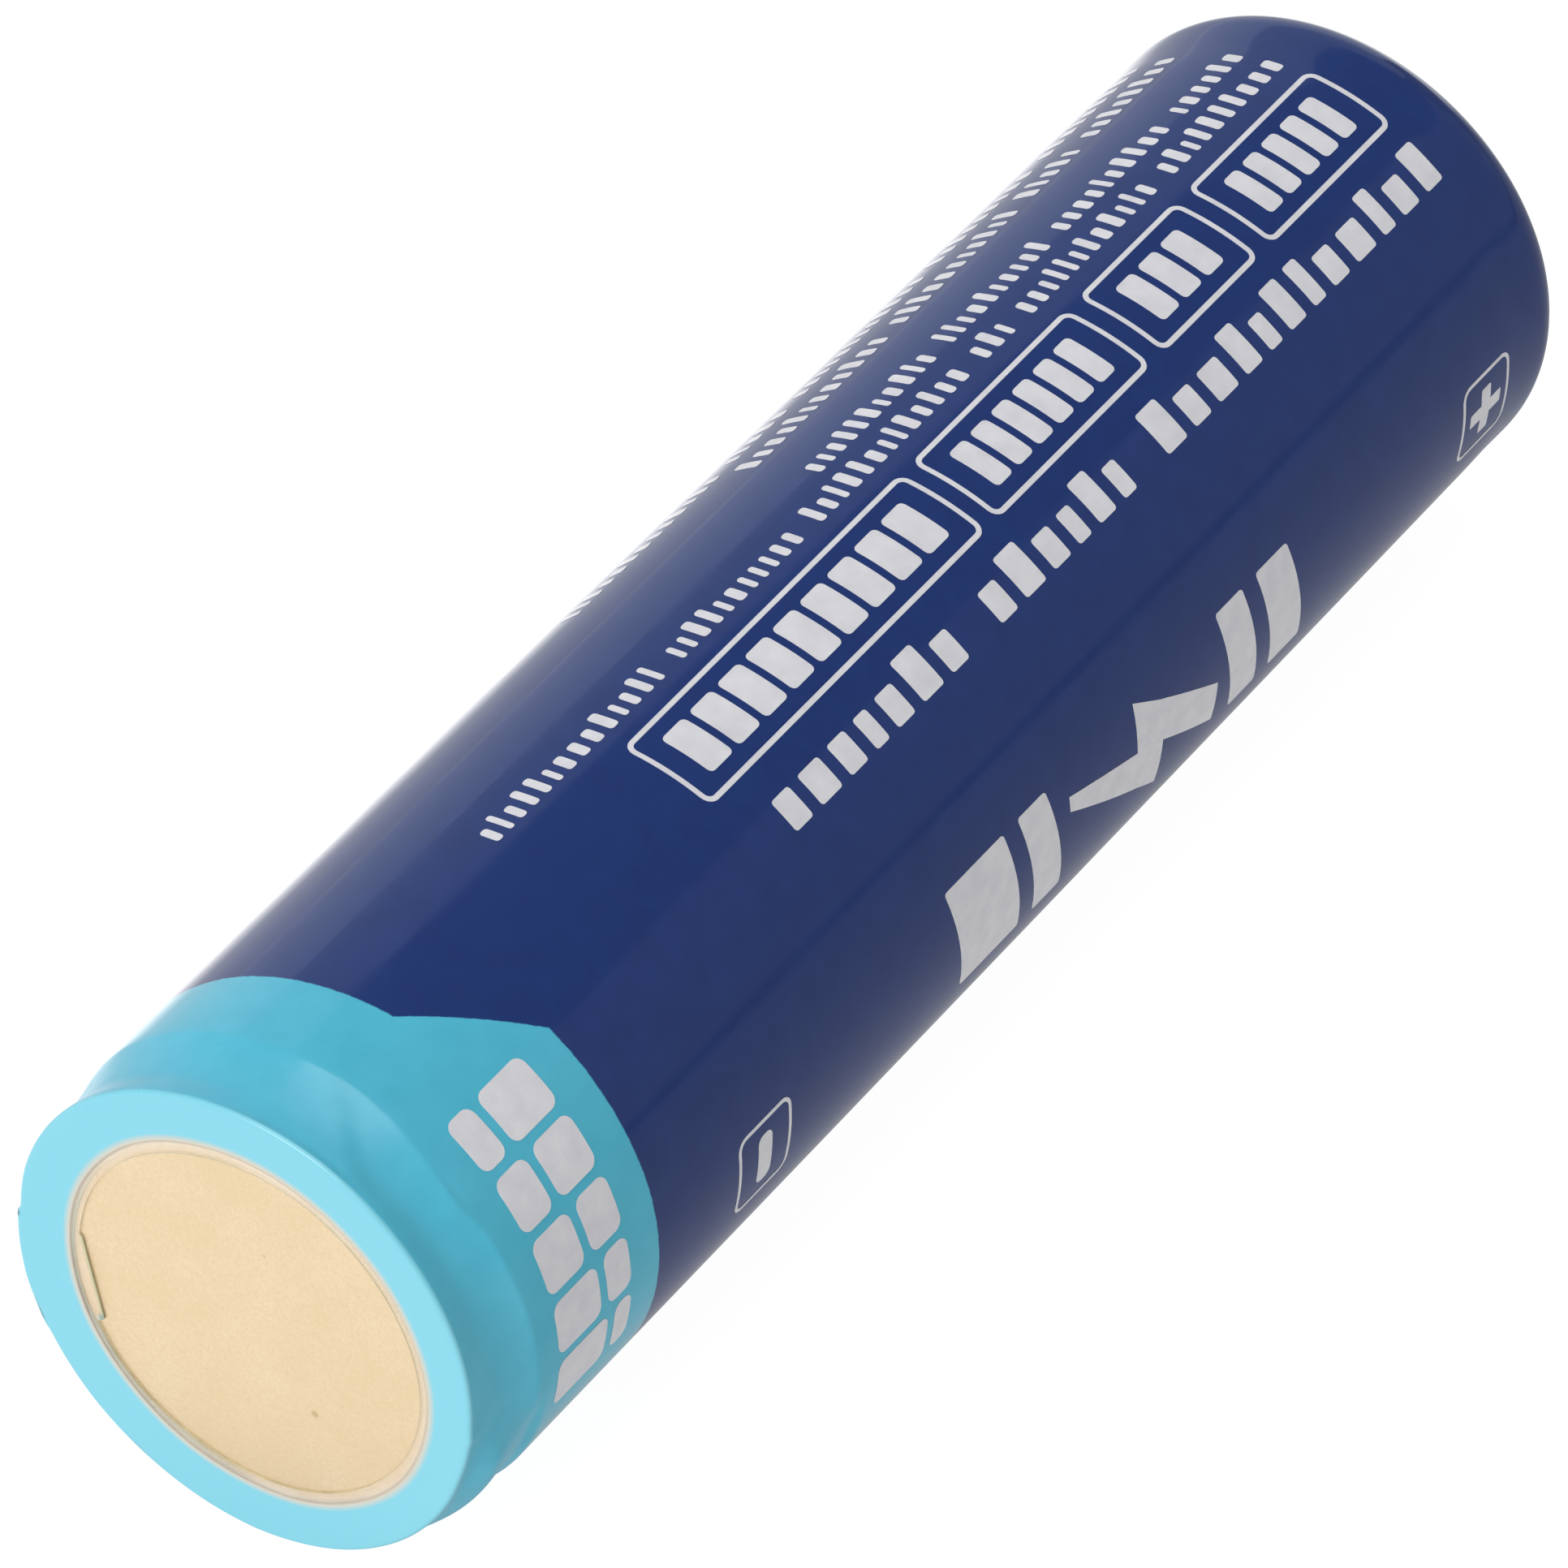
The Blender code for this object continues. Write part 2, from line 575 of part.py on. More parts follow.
def gasket(cell):
    """Plastic gasket around the closure, clamped between the bead and the crimped lip."""
    bore, pocket, outside = GASKET_RADII
    low, high = GASKET_SPAN
    chamfer = GASKET_LIP
    profile = [(bore, low), (outside - chamfer, low), (outside, low + chamfer)]
    profile += [(outside, high - chamfer), (outside - chamfer, high), (bore, high)]
    profile += [(bore, high - GASKET_LIP), (pocket, high - GASKET_LIP)]
    profile += [(pocket, low + GASKET_LIP), (bore, low + GASKET_LIP)]
    turned(cell, "crimp_gasket", profile, material("gasket_plastic", (0.75, 0.77, 0.80), 0.45))


def radial_boxes(count, radius, size, height, start=0.0):
    """Boxes set evenly around the axis, for windows cut through a round wall."""
    turns = [start + 2 * math.pi * k / count for k in range(count)]
    return [(size, (radius, 0.0, height), turn) for turn in turns]


def top_cap(cell):
    """Pressed steel cap with a raised middle and gas windows in its side."""
    low, high = CAP_FLANGE
    boss, wall = CAP_BOSS_RADIUS, CAP_WALL
    profile = [(0.0, CAP_TOP), (boss, CAP_TOP), (boss, high), (CLOSURE_RADIUS, high), (CLOSURE_RADIUS, low)]
    profile += [(boss - wall, low), (boss - wall, CAP_TOP - wall), (0.0, CAP_TOP - wall)]
    cap = turned(cell, "top_cap", profile, material("cap_steel", (0.66, 0.65, 0.62), 0.25, 1.0))
    size = (1.2 * MM, 2.2 * MM, 0.4 * MM)
    boxes = radial_boxes(3, boss - wall / 2, size, (high + CAP_TOP - wall) / 2, math.radians(60))
    boolean(cap, cell.cutter("cap_windows", box_mesh("cap_windows", boxes)))


def closure(cell):
    """The current limiter and interrupter under the cap."""
    ring(cell, "ptc_ring", PTC_RADII, PTC_SPAN, material("ptc_polymer", (0.10, 0.09, 0.08), 0.6))
    aluminium = material("vent_aluminium", (0.78, 0.78, 0.79), 0.35, 1.0)
    low, high = VENT_RIM
    wall = high - low
    dish = 64.15 * MM
    top = [(0.0, dish + wall), (1.5 * MM, dish + wall), (3.7 * MM, 64.87 * MM), (3.9 * MM, 64.78 * MM)]
    top += [(4.1 * MM, 64.95 * MM), (5.2 * MM, high), (CLOSURE_RADIUS, high)]
    under = [(CLOSURE_RADIUS, low), (5.2 * MM, low), (1.5 * MM, dish), (0.0, dish)]
    turned(cell, "safety_vent_disc", top + under, aluminium)
    plastic = material("cid_plastic", (0.6, 0.62, 0.6), 0.5)
    ring(cell, "cid_insulator_ring", CID_RING_RADII, CID_RING_SPAN, plastic)
    plate_finish = material("cid_aluminium", (0.74, 0.74, 0.75), 0.4, 1.0)
    plate = disc(cell, "cid_plate", CID_PLATE_RADIUS, CID_PLATE_SPAN, plate_finish, SMALL_STEPS)
    height = (CID_PLATE_SPAN[0] + CID_PLATE_SPAN[1]) / 2
    slots = radial_boxes(6, 3.1 * MM, (0.8 * MM, 1.2 * MM, 1.0 * MM), height)
    boolean(plate, cell.cutter("cid_plate_holes", box_mesh("cid_plate_holes", slots)))


def positive_end(cell):
    """The insulating ring on the crimp, the pressed button and the white ring around it."""
    ring(cell, "crimp_insulator_ring", CRIMP_RING_RADII, CRIMP_RING_SPAN, fibre_paper("crimp_fibre_paper"))
    cover = material("cover_ring_paper", (0.82, 0.82, 0.80), 0.7)
    ring(cell, "positive_cover_ring", COVER_RING_RADII, COVER_RING_SPAN, cover)
    wall = BUTTON_WALL
    flange = BUTTON_BASE + wall
    corner = 0.35 * MM
    profile = [(0.0, LENGTH)]
    profile += arc((BUTTON_RADIUS - corner, LENGTH - corner), corner, 90, 0)
    profile += [(BUTTON_RADIUS, flange), (BUTTON_FLANGE_RADIUS, flange), (BUTTON_FLANGE_RADIUS, BUTTON_BASE)]
    profile += [(BUTTON_RADIUS - wall, BUTTON_BASE), (BUTTON_RADIUS - wall, LENGTH - corner)]
    profile += [(BUTTON_RADIUS - corner, LENGTH - wall), (0.0, LENGTH - wall)]
    bright_nickel = material("button_nickel", (0.74, 0.73, 0.70), 0.22, 1.0)
    button = turned(cell, "button_top", profile, bright_nickel, SMALL_STEPS)
    size = (1.0 * MM, 1.3 * MM, 0.5 * MM)
    boxes = radial_boxes(3, BUTTON_RADIUS - wall / 2, size, flange + 0.5 * MM, math.radians(30))
    boolean(button, cell.cutter("button_vents", box_mesh("button_vents", boxes)))


def main():
    clear_scene()
    cell = Cell()
    outer_sleeve(cell)
    inner_sleeve(cell)
    strip_insulating_tape(cell)
    positive_strip(cell)
    negative_contact_pad(cell)
    board(cell)
    board_components(cell)
    negative_link_tab(cell)
    cell_can(cell)
    wound_roll(cell)
    roll_insulators_and_tabs(cell)
    gasket(cell)
    top_cap(cell)
    closure(cell)
    positive_end(cell)


main()
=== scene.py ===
"""Looks of the protected cylindrical cell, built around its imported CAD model.

The cell lies on its side. A point of it is given by z, the distance from the negative end
along the axis, by its radius, and by its angle about the axis, counted from straight up
towards the viewer's side. Lengths here are in millimetres until place() turns them into
the frame's metres. An arc is a length around the film, so that angle = arc / radius.
"""

import math
import random

import bmesh
import bpy
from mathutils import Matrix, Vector, noise


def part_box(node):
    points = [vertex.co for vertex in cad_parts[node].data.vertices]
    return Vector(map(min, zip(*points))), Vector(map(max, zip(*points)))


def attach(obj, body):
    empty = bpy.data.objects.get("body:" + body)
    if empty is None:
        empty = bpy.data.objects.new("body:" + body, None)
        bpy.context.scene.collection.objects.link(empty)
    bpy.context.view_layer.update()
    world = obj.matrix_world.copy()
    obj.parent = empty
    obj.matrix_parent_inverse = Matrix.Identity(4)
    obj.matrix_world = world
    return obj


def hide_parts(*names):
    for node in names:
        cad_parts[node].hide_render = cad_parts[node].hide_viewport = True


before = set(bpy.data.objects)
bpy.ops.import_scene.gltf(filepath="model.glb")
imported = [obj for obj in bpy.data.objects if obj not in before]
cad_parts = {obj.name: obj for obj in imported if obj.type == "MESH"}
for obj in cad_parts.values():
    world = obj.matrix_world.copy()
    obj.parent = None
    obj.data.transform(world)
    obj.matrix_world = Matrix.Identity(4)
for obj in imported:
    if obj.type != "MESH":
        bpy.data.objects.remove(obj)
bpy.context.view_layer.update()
MM = 0.001

# Places read from the frame
sleeve_low, sleeve_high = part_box("outer_sleeve")
button_low, button_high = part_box("button_top")
ring_low, ring_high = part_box("positive_cover_ring")
pad_low, pad_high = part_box("negative_contact_pad")
NEGATIVE_END = sleeve_low[0]
AXIS_HEIGHT = (sleeve_low[2] + sleeve_high[2]) / 2
SLEEVE_LENGTH = (sleeve_high[0] - sleeve_low[0]) / MM
BARREL_RADIUS = (sleeve_high[2] - sleeve_low[2]) / 2 / MM
CELL_LENGTH = (button_high[0] - sleeve_low[0]) / MM

# Film of the outer sleeve
FILM_WALL = 0.08
FILM_COLUMNS = 288
CLEAR_DROP = 0.012
RIM_RADIUS = 9.07
RIM_CORNER = 0.14
NECK = 1.2
NECK_RADIUS = 8.9
NECK_DEPTH = 0.12
LEAST_RADIUS = 8.64
OVER_STRIP_RADIUS = 9.04
LOBE_NECK = 0.4
LOBE_RADIUS = 8.94
BULGE = 1.6
BULGE_RADIUS = 9.1
WAIST_RADIUS = 8.98
SHOULDER_CORNER = 1.7
STRIP_SHOULDER = 0.9
FAR_OPENING = 6.0
INK_EDGE = 7.16
INK_WAVES = ((0.02, 1, 109), (0.08, 2, 113), (0.01, 9, 40))
INK_FADE = 0.2
CUT_EDGE = 6.68
FOLD_RADIUS = 6.87
FOLD_ANGLE = -118.0
FOLD_HEIGHT = 0.03
SEAM_ANGLE = -12.0
STRIP_ANGLE = -99.0
STRIP_HALF_WIDTH = 15.0
BEAD = 64.4

# Torn stretch of the cut edge, from TEAR_START round to TEAR_END
TEAR_START = -115.7
TEAR_END = -85.2
TEAR_START_RADIUS = 6.38
TEAR_END_RADIUS = 6.53
NICK_ANGLE = -88.0

# Print
PRINT_TOP = 0.014
PRINT_BASE = 0.003
LONGEST_STEP = 0.6
LONGEST_ROW = 0.5
SKY_BAND = 6.5
SKY_RAISE = 3.5
SKY_SLOPE = 0.55
SKY_RAGGED = 0.018
RAISE_ANGLE = 86.0
RAISE_HALF = 53.0
RAISE_RAMP = 24.0

# Contact plate, cover ring and button
PLATE_STEPS = 144
PLATE_FACE = 0.1
MAIN_SPOT = (3.7, 138)
TURNED_STEPS = 96
COVER_HOLE_RADIUS = 4.1


def place(z, radius, angle):
    """Point in the frame, in metres, at a distance, a radius and an angle in degrees."""
    turn = math.radians(angle)
    return Vector(
        (
            NEGATIVE_END + z * MM,
            -radius * math.sin(turn) * MM,
            AXIS_HEIGHT + radius * math.cos(turn) * MM,
        )
    )


def clamp(value):
    """The value kept between 0 and 1."""
    return max(0.0, min(1.0, value))


def smooth(start, end, value):
    """0 before start, 1 after end, and a smooth rise between them."""
    t = clamp((value - start) / (end - start))
    return t * t * (3 - 2 * t)


def bump(value, centre, half_width):
    """A smooth hill, 1 at centre and nearly 0 beyond about twice half_width."""
    return math.exp(-(((value - centre) / half_width) ** 2))


def turn_between(angle, centre):
    """Signed difference of two angles, from -180 to 180 degrees."""
    return (angle - centre + 180) % 360 - 180


def between(points, value):
    """Straight-line reading of (position, height) points."""
    for (x0, y0), (x1, y1) in zip(points, points[1:]):
        if value <= x1:
            return y0 + (y1 - y0) * clamp((value - x0) / (x1 - x0))
    return points[-1][1]


# ---- shape of the film


# How far the rim stands out of a circle of RIM_RADIUS: angle, offset
RIM_SHAPE = (
    (-180, 0.11),
    (-150, 0.17),
    (-119, 0.09),
    (-116, 0.2),
    (-89, 0.03),
    (-86, -0.08),
    (-75, -0.02),
    (20, -0.04),
    (60, -0.28),
    (90, -0.46),
    (108, -0.52),
    (130, -0.35),
    (145, -0.2),
    (160, -0.05),
    (180, 0.11),
)
# Where the film meets the edge of the can: angle, distance
CAN_EDGE = (
    (-180, 3.2),
    (12, 3.2),
    (27, 2.95),
    (45, 2.6),
    (54, 2.9),
    (72, 3.05),
    (107, 3.1),
    (180, 3.2),
)
# The lobe of slack film over the board: the angles between which it rises, the angle and
# distance where its far crease starts, and the degrees that the crease leans for each mm
LOBE_RISE = (-14, 4)
LOBE_DEPTH = 0.65
CREASE_START = (25, 0.8)
CREASE_LEAN = 5.45
# The bulge of slack film: the angles between which it rises and falls
SLACK_RISE = (93, 108)
SLACK_FALL = (150, 175)
# The tight film on the can: the distances between which it starts and ends
BODY_RISE = (3.4, 5.0)
BODY_FALL = (64, 66.5)
# Small folds: distance, half length, angle, half width in degrees, height
FOLDS = (
    (2.3, 0.3, 45, 3.5, 0.035),
    (2.85, 0.25, 41, 4.0, -0.03),
    (0.3, 0.35, 95, 1.6, 0.05),
    (0.12, 0.2, NICK_ANGLE, 0.8, 0.08),
)
UNEVEN = 0.022
SWAY = 0.005
BEAD_DEPTH = 0.02
SEAM_HEIGHT = 0.006
# Ridges across the negative face: angle at the rim, lean in degrees per mm, depth
FACE_RIDGES = ((-88, 3.0, 0.02), (-97, -5.0, 0.016), (-104, -6.0, 0.014))


def can_edge(angle):
    """Distance at which the film meets the edge of the can, for one angle."""
    return between(CAN_EDGE, turn_between(angle, 0))


def over_strip(angle):
    """1 where the film lies over the nickel strip, fading to 0 beside it."""
    from_middle = abs(turn_between(angle, STRIP_ANGLE))
    return 1 - smooth(STRIP_HALF_WIDTH, STRIP_HALF_WIDTH + 8, from_middle)


def rim_radius(angle):
    """Radius of the rim of the negative face, which is a little out of round."""
    return RIM_RADIUS + between(RIM_SHAPE, turn_between(angle, 0))


def drawn_in(z, rim, edge, neck, low, power):
    """Film that falls from the rim to a neck and is stretched from there up to the can."""
    high = BARREL_RADIUS - 0.01
    if z < neck:
        return rim - (rim - low) * smooth(0.05, neck, z)
    if z < edge:
        return low + (high - low) * ((z - neck) / (edge - neck)) ** power
    return BARREL_RADIUS - 0.01 * (1 - smooth(edge, edge + 0.5, z))


def slack_profile(z, rim, edge):
    """Film that bulges over the protection module and dips before the can."""
    if z < BULGE:
        return rim + (BULGE_RADIUS - rim) * smooth(0.2, BULGE, z)
    if z < edge:
        return BULGE_RADIUS - (BULGE_RADIUS - WAIST_RADIUS) * smooth(BULGE, edge, z)
    return WAIST_RADIUS + (BARREL_RADIUS - WAIST_RADIUS) * smooth(edge, edge + 0.6, z)


def film_radius(z, angle):
    """Radius of the sleeve's outside, in mm."""
    turned_by = turn_between(angle, 0)
    turn = math.radians(angle)
    edge = can_edge(angle)
    crease_angle = CREASE_START[0] - CREASE_LEAN * (z - CREASE_START[1])
    lobe = LOBE_DEPTH * smooth(*LOBE_RISE, turned_by)
    lobe *= 1 - smooth(-4, 4, turned_by - crease_angle)
    slack = smooth(*SLACK_RISE, turned_by) * (1 - smooth(*SLACK_FALL, turned_by))
    rim = rim_radius(angle)
    neck_radius = max(LEAST_RADIUS, min(NECK_RADIUS, rim - NECK_DEPTH))
    neck_radius += (OVER_STRIP_RADIUS - neck_radius) * over_strip(angle)
    radius = drawn_in(z, rim, edge, NECK, neck_radius, 1.6)
    radius += (drawn_in(z, rim, edge, LOBE_NECK, LOBE_RADIUS, 1.05) - radius) * lobe
    radius += (slack_profile(z, rim, edge) - radius) * slack
    band = bump(z, 1.7, 0.8)
    radius += UNEVEN * band * noise.noise(Vector((z / 2, 3 * math.sin(turn), 3 * math.cos(turn))))
    for middle, half_length, centre, half_width, height in FOLDS:
        radius += height * bump(z, middle, half_length) * bump(turn_between(angle, centre), 0, half_width)
    body = smooth(*BODY_RISE, z) * (1 - smooth(*BODY_FALL, z))
    sway = noise.noise(Vector((z / 18, math.sin(turn), math.cos(turn))))
    radius -= body * SWAY * (1 + sway)
    radius -= BEAD_DEPTH * bump(z, BEAD, 0.9)
    for seam in (SEAM_ANGLE, SEAM_ANGLE + 180):
        radius += SEAM_HEIGHT * body * bump(turn_between(angle, seam), 0, 0.5)
    return min(radius, BARREL_RADIUS)


def shoulder_corner(angle):
    """Radius of the shoulder at the far end, tighter where the film lies over the strip."""
    return SHOULDER_CORNER + (STRIP_SHOULDER - SHOULDER_CORNER) * over_strip(angle)


def direction(angle):
    """Flat unit vector at an angle in degrees."""
    return Vector((math.cos(math.radians(angle)), math.sin(math.radians(angle))))


def tear(angle):
    """Radius of the straight torn edge at an angle, or None beside the tear."""
    if not TEAR_START <= angle <= TEAR_END:
        return None
    start = direction(TEAR_START) * TEAR_START_RADIUS
    chord = direction(TEAR_END) * TEAR_END_RADIUS - start
    ray = direction(angle)
    across = ray.x * chord.y - ray.y * chord.x
    return (start.x * chord.y - start.y * chord.x) / across


def cut_edge(angle):
    """Radius of the film's cut edge round the negative opening."""
    turn = math.radians(angle)
    wander = 0.05 * math.sin(2 * turn + 0.6) + 0.025 * math.sin(5 * turn)
    edge = CUT_EDGE + wander
    torn = tear(turn_between(angle, 0))
    if torn is None:
        return edge
    return torn


def ink_edge(angle):
    """Radius where the print ends on the negative face."""
    radius = INK_EDGE
    for size, count, phase in INK_WAVES:
        radius += size * math.sin(math.radians(count * angle + phase))
    return radius


def face_height(radius, angle):
    """Small dents in the film on the negative face, measured inwards."""
    turn = math.radians(angle)
    slow = noise.noise(Vector((radius * math.cos(turn) / 3, radius * math.sin(turn) / 3, 7.3)))
    inner = 1 - smooth(7.6, 8.3, radius)
    ridge = 0.0
    for centre, lean, deep in FACE_RIDGES:
        line = centre + lean * (RIM_RADIUS - radius)
        ridge += deep * bump(math.radians(turn_between(angle, line)) * radius, 0, 0.09)
    return inner * (0.014 * (1 + slow)) + ridge * smooth(6.9, 7.6, radius)


# ---- mesh building


def finish_mesh(bm, name, materials, smooth_faces=True):
    """Turns a bmesh into a scene object that rides on the cell."""
    bmesh.ops.recalc_face_normals(bm, faces=bm.faces)
    mesh = bpy.data.meshes.new(name)
    bm.to_mesh(mesh)
    bm.free()
    for polygon in mesh.polygons:
        polygon.use_smooth = smooth_faces
    obj = bpy.data.objects.new(name, mesh)
    bpy.context.scene.collection.objects.link(obj)
    for material in materials:
        mesh.materials.append(material)
    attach(obj, "root")
    return obj


def bridge(bm, low, high, closed=True, material=0):
    """Faces between two loops of vertices of the same length."""
    count = len(low)
    for i in range(count if closed else count - 1):
        j = (i + 1) % count
        face = bm.faces.new((low[i], low[j], high[j], high[i]))
        face.material_index = material


def turned(name, outline, steps, material):
    """Solid of revolution from an outline of (z, radius) that starts and ends on the axis
    or closes on itself."""
    bm = bmesh.new()
    angles = [360 * i / steps for i in range(steps)]
    rings = []
    for z, radius in outline:
        if radius == 0:
            rings.append([bm.verts.new(place(z, 0, 0))])
        else:
            rings.append([bm.verts.new(place(z, radius, angle)) for angle in angles])
    pairs = list(zip(rings, rings[1:]))
    if len(rings[0]) > 1:
        pairs.append((rings[-1], rings[0]))
    for low, high in pairs:
        if len(low) == 1:
            for i in range(steps):
                bm.faces.new((low[0], high[i], high[(i + 1) % steps]))
        elif len(high) == 1:
            for i in range(steps):
                bm.faces.new((high[0], low[(i + 1) % steps], low[i]))
        else:
            bridge(bm, low, high)
    return finish_mesh(bm, name, [material])


def arc_points(z_centre, r_centre, radius, start, end, steps):
    """Points of an arc in the (z, radius) plane, angles in degrees from the +z side."""
    points = []
    for i in range(steps + 1):
        turn = math.radians(start + (end - start) * i / steps)
        points.append((z_centre + radius * math.cos(turn), r_centre + radius * math.sin(turn)))
    return points


def sharpen(obj, angle):
    """Keeps edges sharper than the angle, in degrees, crisp under smooth shading."""
    bm = bmesh.new()
    bm.from_mesh(obj.data)
    limit = math.radians(angle)
    for edge in bm.edges:
        edge.smooth = len(edge.link_faces) == 2 and edge.calc_face_angle(0) < limit
    bm.to_mesh(obj.data)
    bm.free()


# ---- node materials


def new_material(name):
    """Empty node material and its Principled node."""
    material = bpy.data.materials.new(name)
    material.use_nodes = True
    tree = material.node_tree
    principled = tree.nodes["Principled BSDF"]
    return material, tree, principled


def math_node(tree, operation, first, second=None):
    """Math node fed by sockets or numbers."""
    node = tree.nodes.new("ShaderNodeMath")
    node.operation = operation
    for socket, value in zip(node.inputs, (first, second)):
        if value is None:
            continue
        if isinstance(value, (int, float)):
            socket.default_value = value
        else:
            tree.links.new(value, socket)
    return node.outputs[0]


def map_range(tree, value, low, high, to_low=0.0, to_high=1.0):
    """Clamped linear map of a socket."""
    node = tree.nodes.new("ShaderNodeMapRange")
    tree.links.new(value, node.inputs["Value"])
    node.inputs["From Min"].default_value = low
    node.inputs["From Max"].default_value = high
    node.inputs["To Min"].default_value = to_low
    node.inputs["To Max"].default_value = to_high
    return node.outputs["Result"]


def mix_colours(tree, factor, first, second):
    """Colour mix of two colours or sockets."""
    node = tree.nodes.new("ShaderNodeMix")
    node.data_type = "RGBA"
    sockets = [s for s in node.inputs if s.type == "RGBA"]
    for socket, value in zip(sockets, (first, second)):
        if isinstance(value, tuple):
            socket.default_value = (*value, 1)
        else:
            tree.links.new(value, socket)
    tree.links.new(factor, node.inputs["Factor"])
    return [s for s in node.outputs if s.type == "RGBA"][0]


def coordinates(tree, stretch=None):
    """Object coordinates, which are the frame's metres, stretched if asked."""
    vector = tree.nodes.new("ShaderNodeTexCoord").outputs["Object"]
    if stretch is None:
        return vector
    mapping = tree.nodes.new("ShaderNodeMapping")
    mapping.inputs["Scale"].default_value = stretch
    tree.links.new(vector, mapping.inputs["Vector"])
    return mapping.outputs["Vector"]


def noise_node(tree, scale, detail=3.0, roughness=0.5, stretch=None):
    """Noise factor in object space; scale is features per metre."""
    node = tree.nodes.new("ShaderNodeTexNoise")
    node.inputs["Scale"].default_value = scale
    node.inputs["Detail"].default_value = detail
    node.inputs["Roughness"].default_value = roughness
    tree.links.new(coordinates(tree, stretch), node.inputs["Vector"])
    return node.outputs["Fac"]


def add_bump(tree, principled, height, distance):
    """Bump from a height socket; distance in metres."""
    node = tree.nodes.new("ShaderNodeBump")
    node.inputs["Distance"].default_value = distance
    node.inputs["Strength"].default_value = 1.0
    tree.links.new(height, node.inputs["Height"])
    tree.links.new(node.outputs["Normal"], principled.inputs["Normal"])


def axial_parts(tree):
    """Sockets for distance along the cell in mm, radius in mm and angle in degrees."""
    split = tree.nodes.new("ShaderNodeSeparateXYZ")
    tree.links.new(coordinates(tree), split.inputs[0])
    x, y, z = split.outputs
    distance = math_node(tree, "MULTIPLY", math_node(tree, "SUBTRACT", x, NEGATIVE_END), 1 / MM)
    up = math_node(tree, "SUBTRACT", z, AXIS_HEIGHT)
    squares = math_node(
        tree, "ADD", math_node(tree, "MULTIPLY", y, y), math_node(tree, "MULTIPLY", up, up)
    )
    radius = math_node(tree, "MULTIPLY", math_node(tree, "SQRT", squares), 1 / MM)
    turn = math_node(tree, "ARCTAN2", math_node(tree, "MULTIPLY", y, -1.0), up)
    angle = math_node(tree, "MULTIPLY", turn, 180 / math.pi)
    return distance, radius, angle


NAVY = (0.0085, 0.0325, 0.16)
NAVY_DEEP = (0.007, 0.0275, 0.142)
SKY = (0.08, 0.47, 0.63)
SKY_DEEP = (0.07, 0.44, 0.595)
# Lighter sky blue for the negative face: painted light, standing in for the stronger light that falls on
# that face
SKY_FACE_PAINTED_LIGHT = (0.19, 0.565, 0.685)
# Painted shade in the nick at the rim
NICK_PAINTED_SHADE = (0.03, 0.09, 0.12)
DUST = (0.75, 0.76, 0.8)
CREAM = (0.61, 0.55, 0.45)
CLEAR = (0.94, 0.86, 0.73)
# Green-grey painted shade along the fold in the clear film
FOLD_SHADE_GREEN = (0.34, 0.46, 0.36)
# Olive painted shade along the torn edge of the film
TORN_EDGE_SHADE = (0.42, 0.41, 0.2)
# Teal painted shade in the crumple at the start of the tear
CRUMPLE_SHADE_TEAL = (0.2, 0.36, 0.34)
GOLD = (0.9, 0.735, 0.505)
GOLD_CLOUD = (0.865, 0.69, 0.45)
GOLD_GRAIN = (0.82, 0.65, 0.415)
STAIN = (0.5, 0.33, 0.15)


def ink_edge_socket(tree, angle):
    """Radius where the print ends, as ink_edge() gives it, from the angle's socket."""
    total = INK_EDGE
    for size, count, phase in INK_WAVES:
        degrees = math_node(tree, "MULTIPLY_ADD", angle, float(count))
        degrees.node.inputs[2].default_value = phase
        wave = math_node(tree, "SINE", math_node(tree, "RADIANS", degrees))
        scaled = math_node(tree, "MULTIPLY", wave, size)
        total = math_node(tree, "ADD", scaled, total)
    return total


def off_value(tree, socket, centre):
    """How far a socket is from a value, either way."""
    return math_node(tree, "ABSOLUTE", math_node(tree, "SUBTRACT", socket, centre))


def near_point(tree, point, inner, outer):
    """1 within inner of a point and 0 beyond outer, both in mm."""
    node = tree.nodes.new("ShaderNodeVectorMath")
    node.operation = "DISTANCE"
    tree.links.new(coordinates(tree), node.inputs[0])
    node.inputs[1].default_value = point
    return map_range(tree, node.outputs["Value"], inner * MM, outer * MM, 1.0, 0.0)


def flecks(tree):
    """A few specks of dust, as a mask."""
    cells = tree.nodes.new("ShaderNodeTexVoronoi")
    cells.inputs["Scale"].default_value = 130
    tree.links.new(coordinates(tree, (1.0, 2.2, 1.6)), cells.inputs["Vector"])
    split = tree.nodes.new("ShaderNodeSeparateColor")
    tree.links.new(cells.outputs["Color"], split.inputs["Color"])
    chosen = map_range(tree, split.outputs["Red"], 0.5, 0.52)
    speck = map_range(tree, cells.outputs["Distance"], 0.01, 0.016, 0.8, 0.0)
    return math_node(tree, "MULTIPLY", chosen, speck)


def past_sky_band(tree, distance, angle):
    """0 on the sky blue band and 1 beyond its edge, which rises to a step on one side."""
    away = off_value(tree, angle, RAISE_ANGLE)
    rise = map_range(tree, away, RAISE_HALF, RAISE_HALF + RAISE_RAMP, SKY_RAISE, 0.0)
    slope = map_range(tree, away, RAISE_HALF + RAISE_RAMP, 180, 0.0, -SKY_SLOPE)
    ragged = map_range(tree, noise_node(tree, 3500, 2), 0.3, 0.7, -SKY_RAGGED, SKY_RAGGED)
    edge = math_node(tree, "ADD", math_node(tree, "ADD", rise, slope), SKY_BAND)
    edge = math_node(tree, "ADD", edge, ragged)
    return map_range(tree, math_node(tree, "SUBTRACT", distance, edge), -0.03, 0.03)


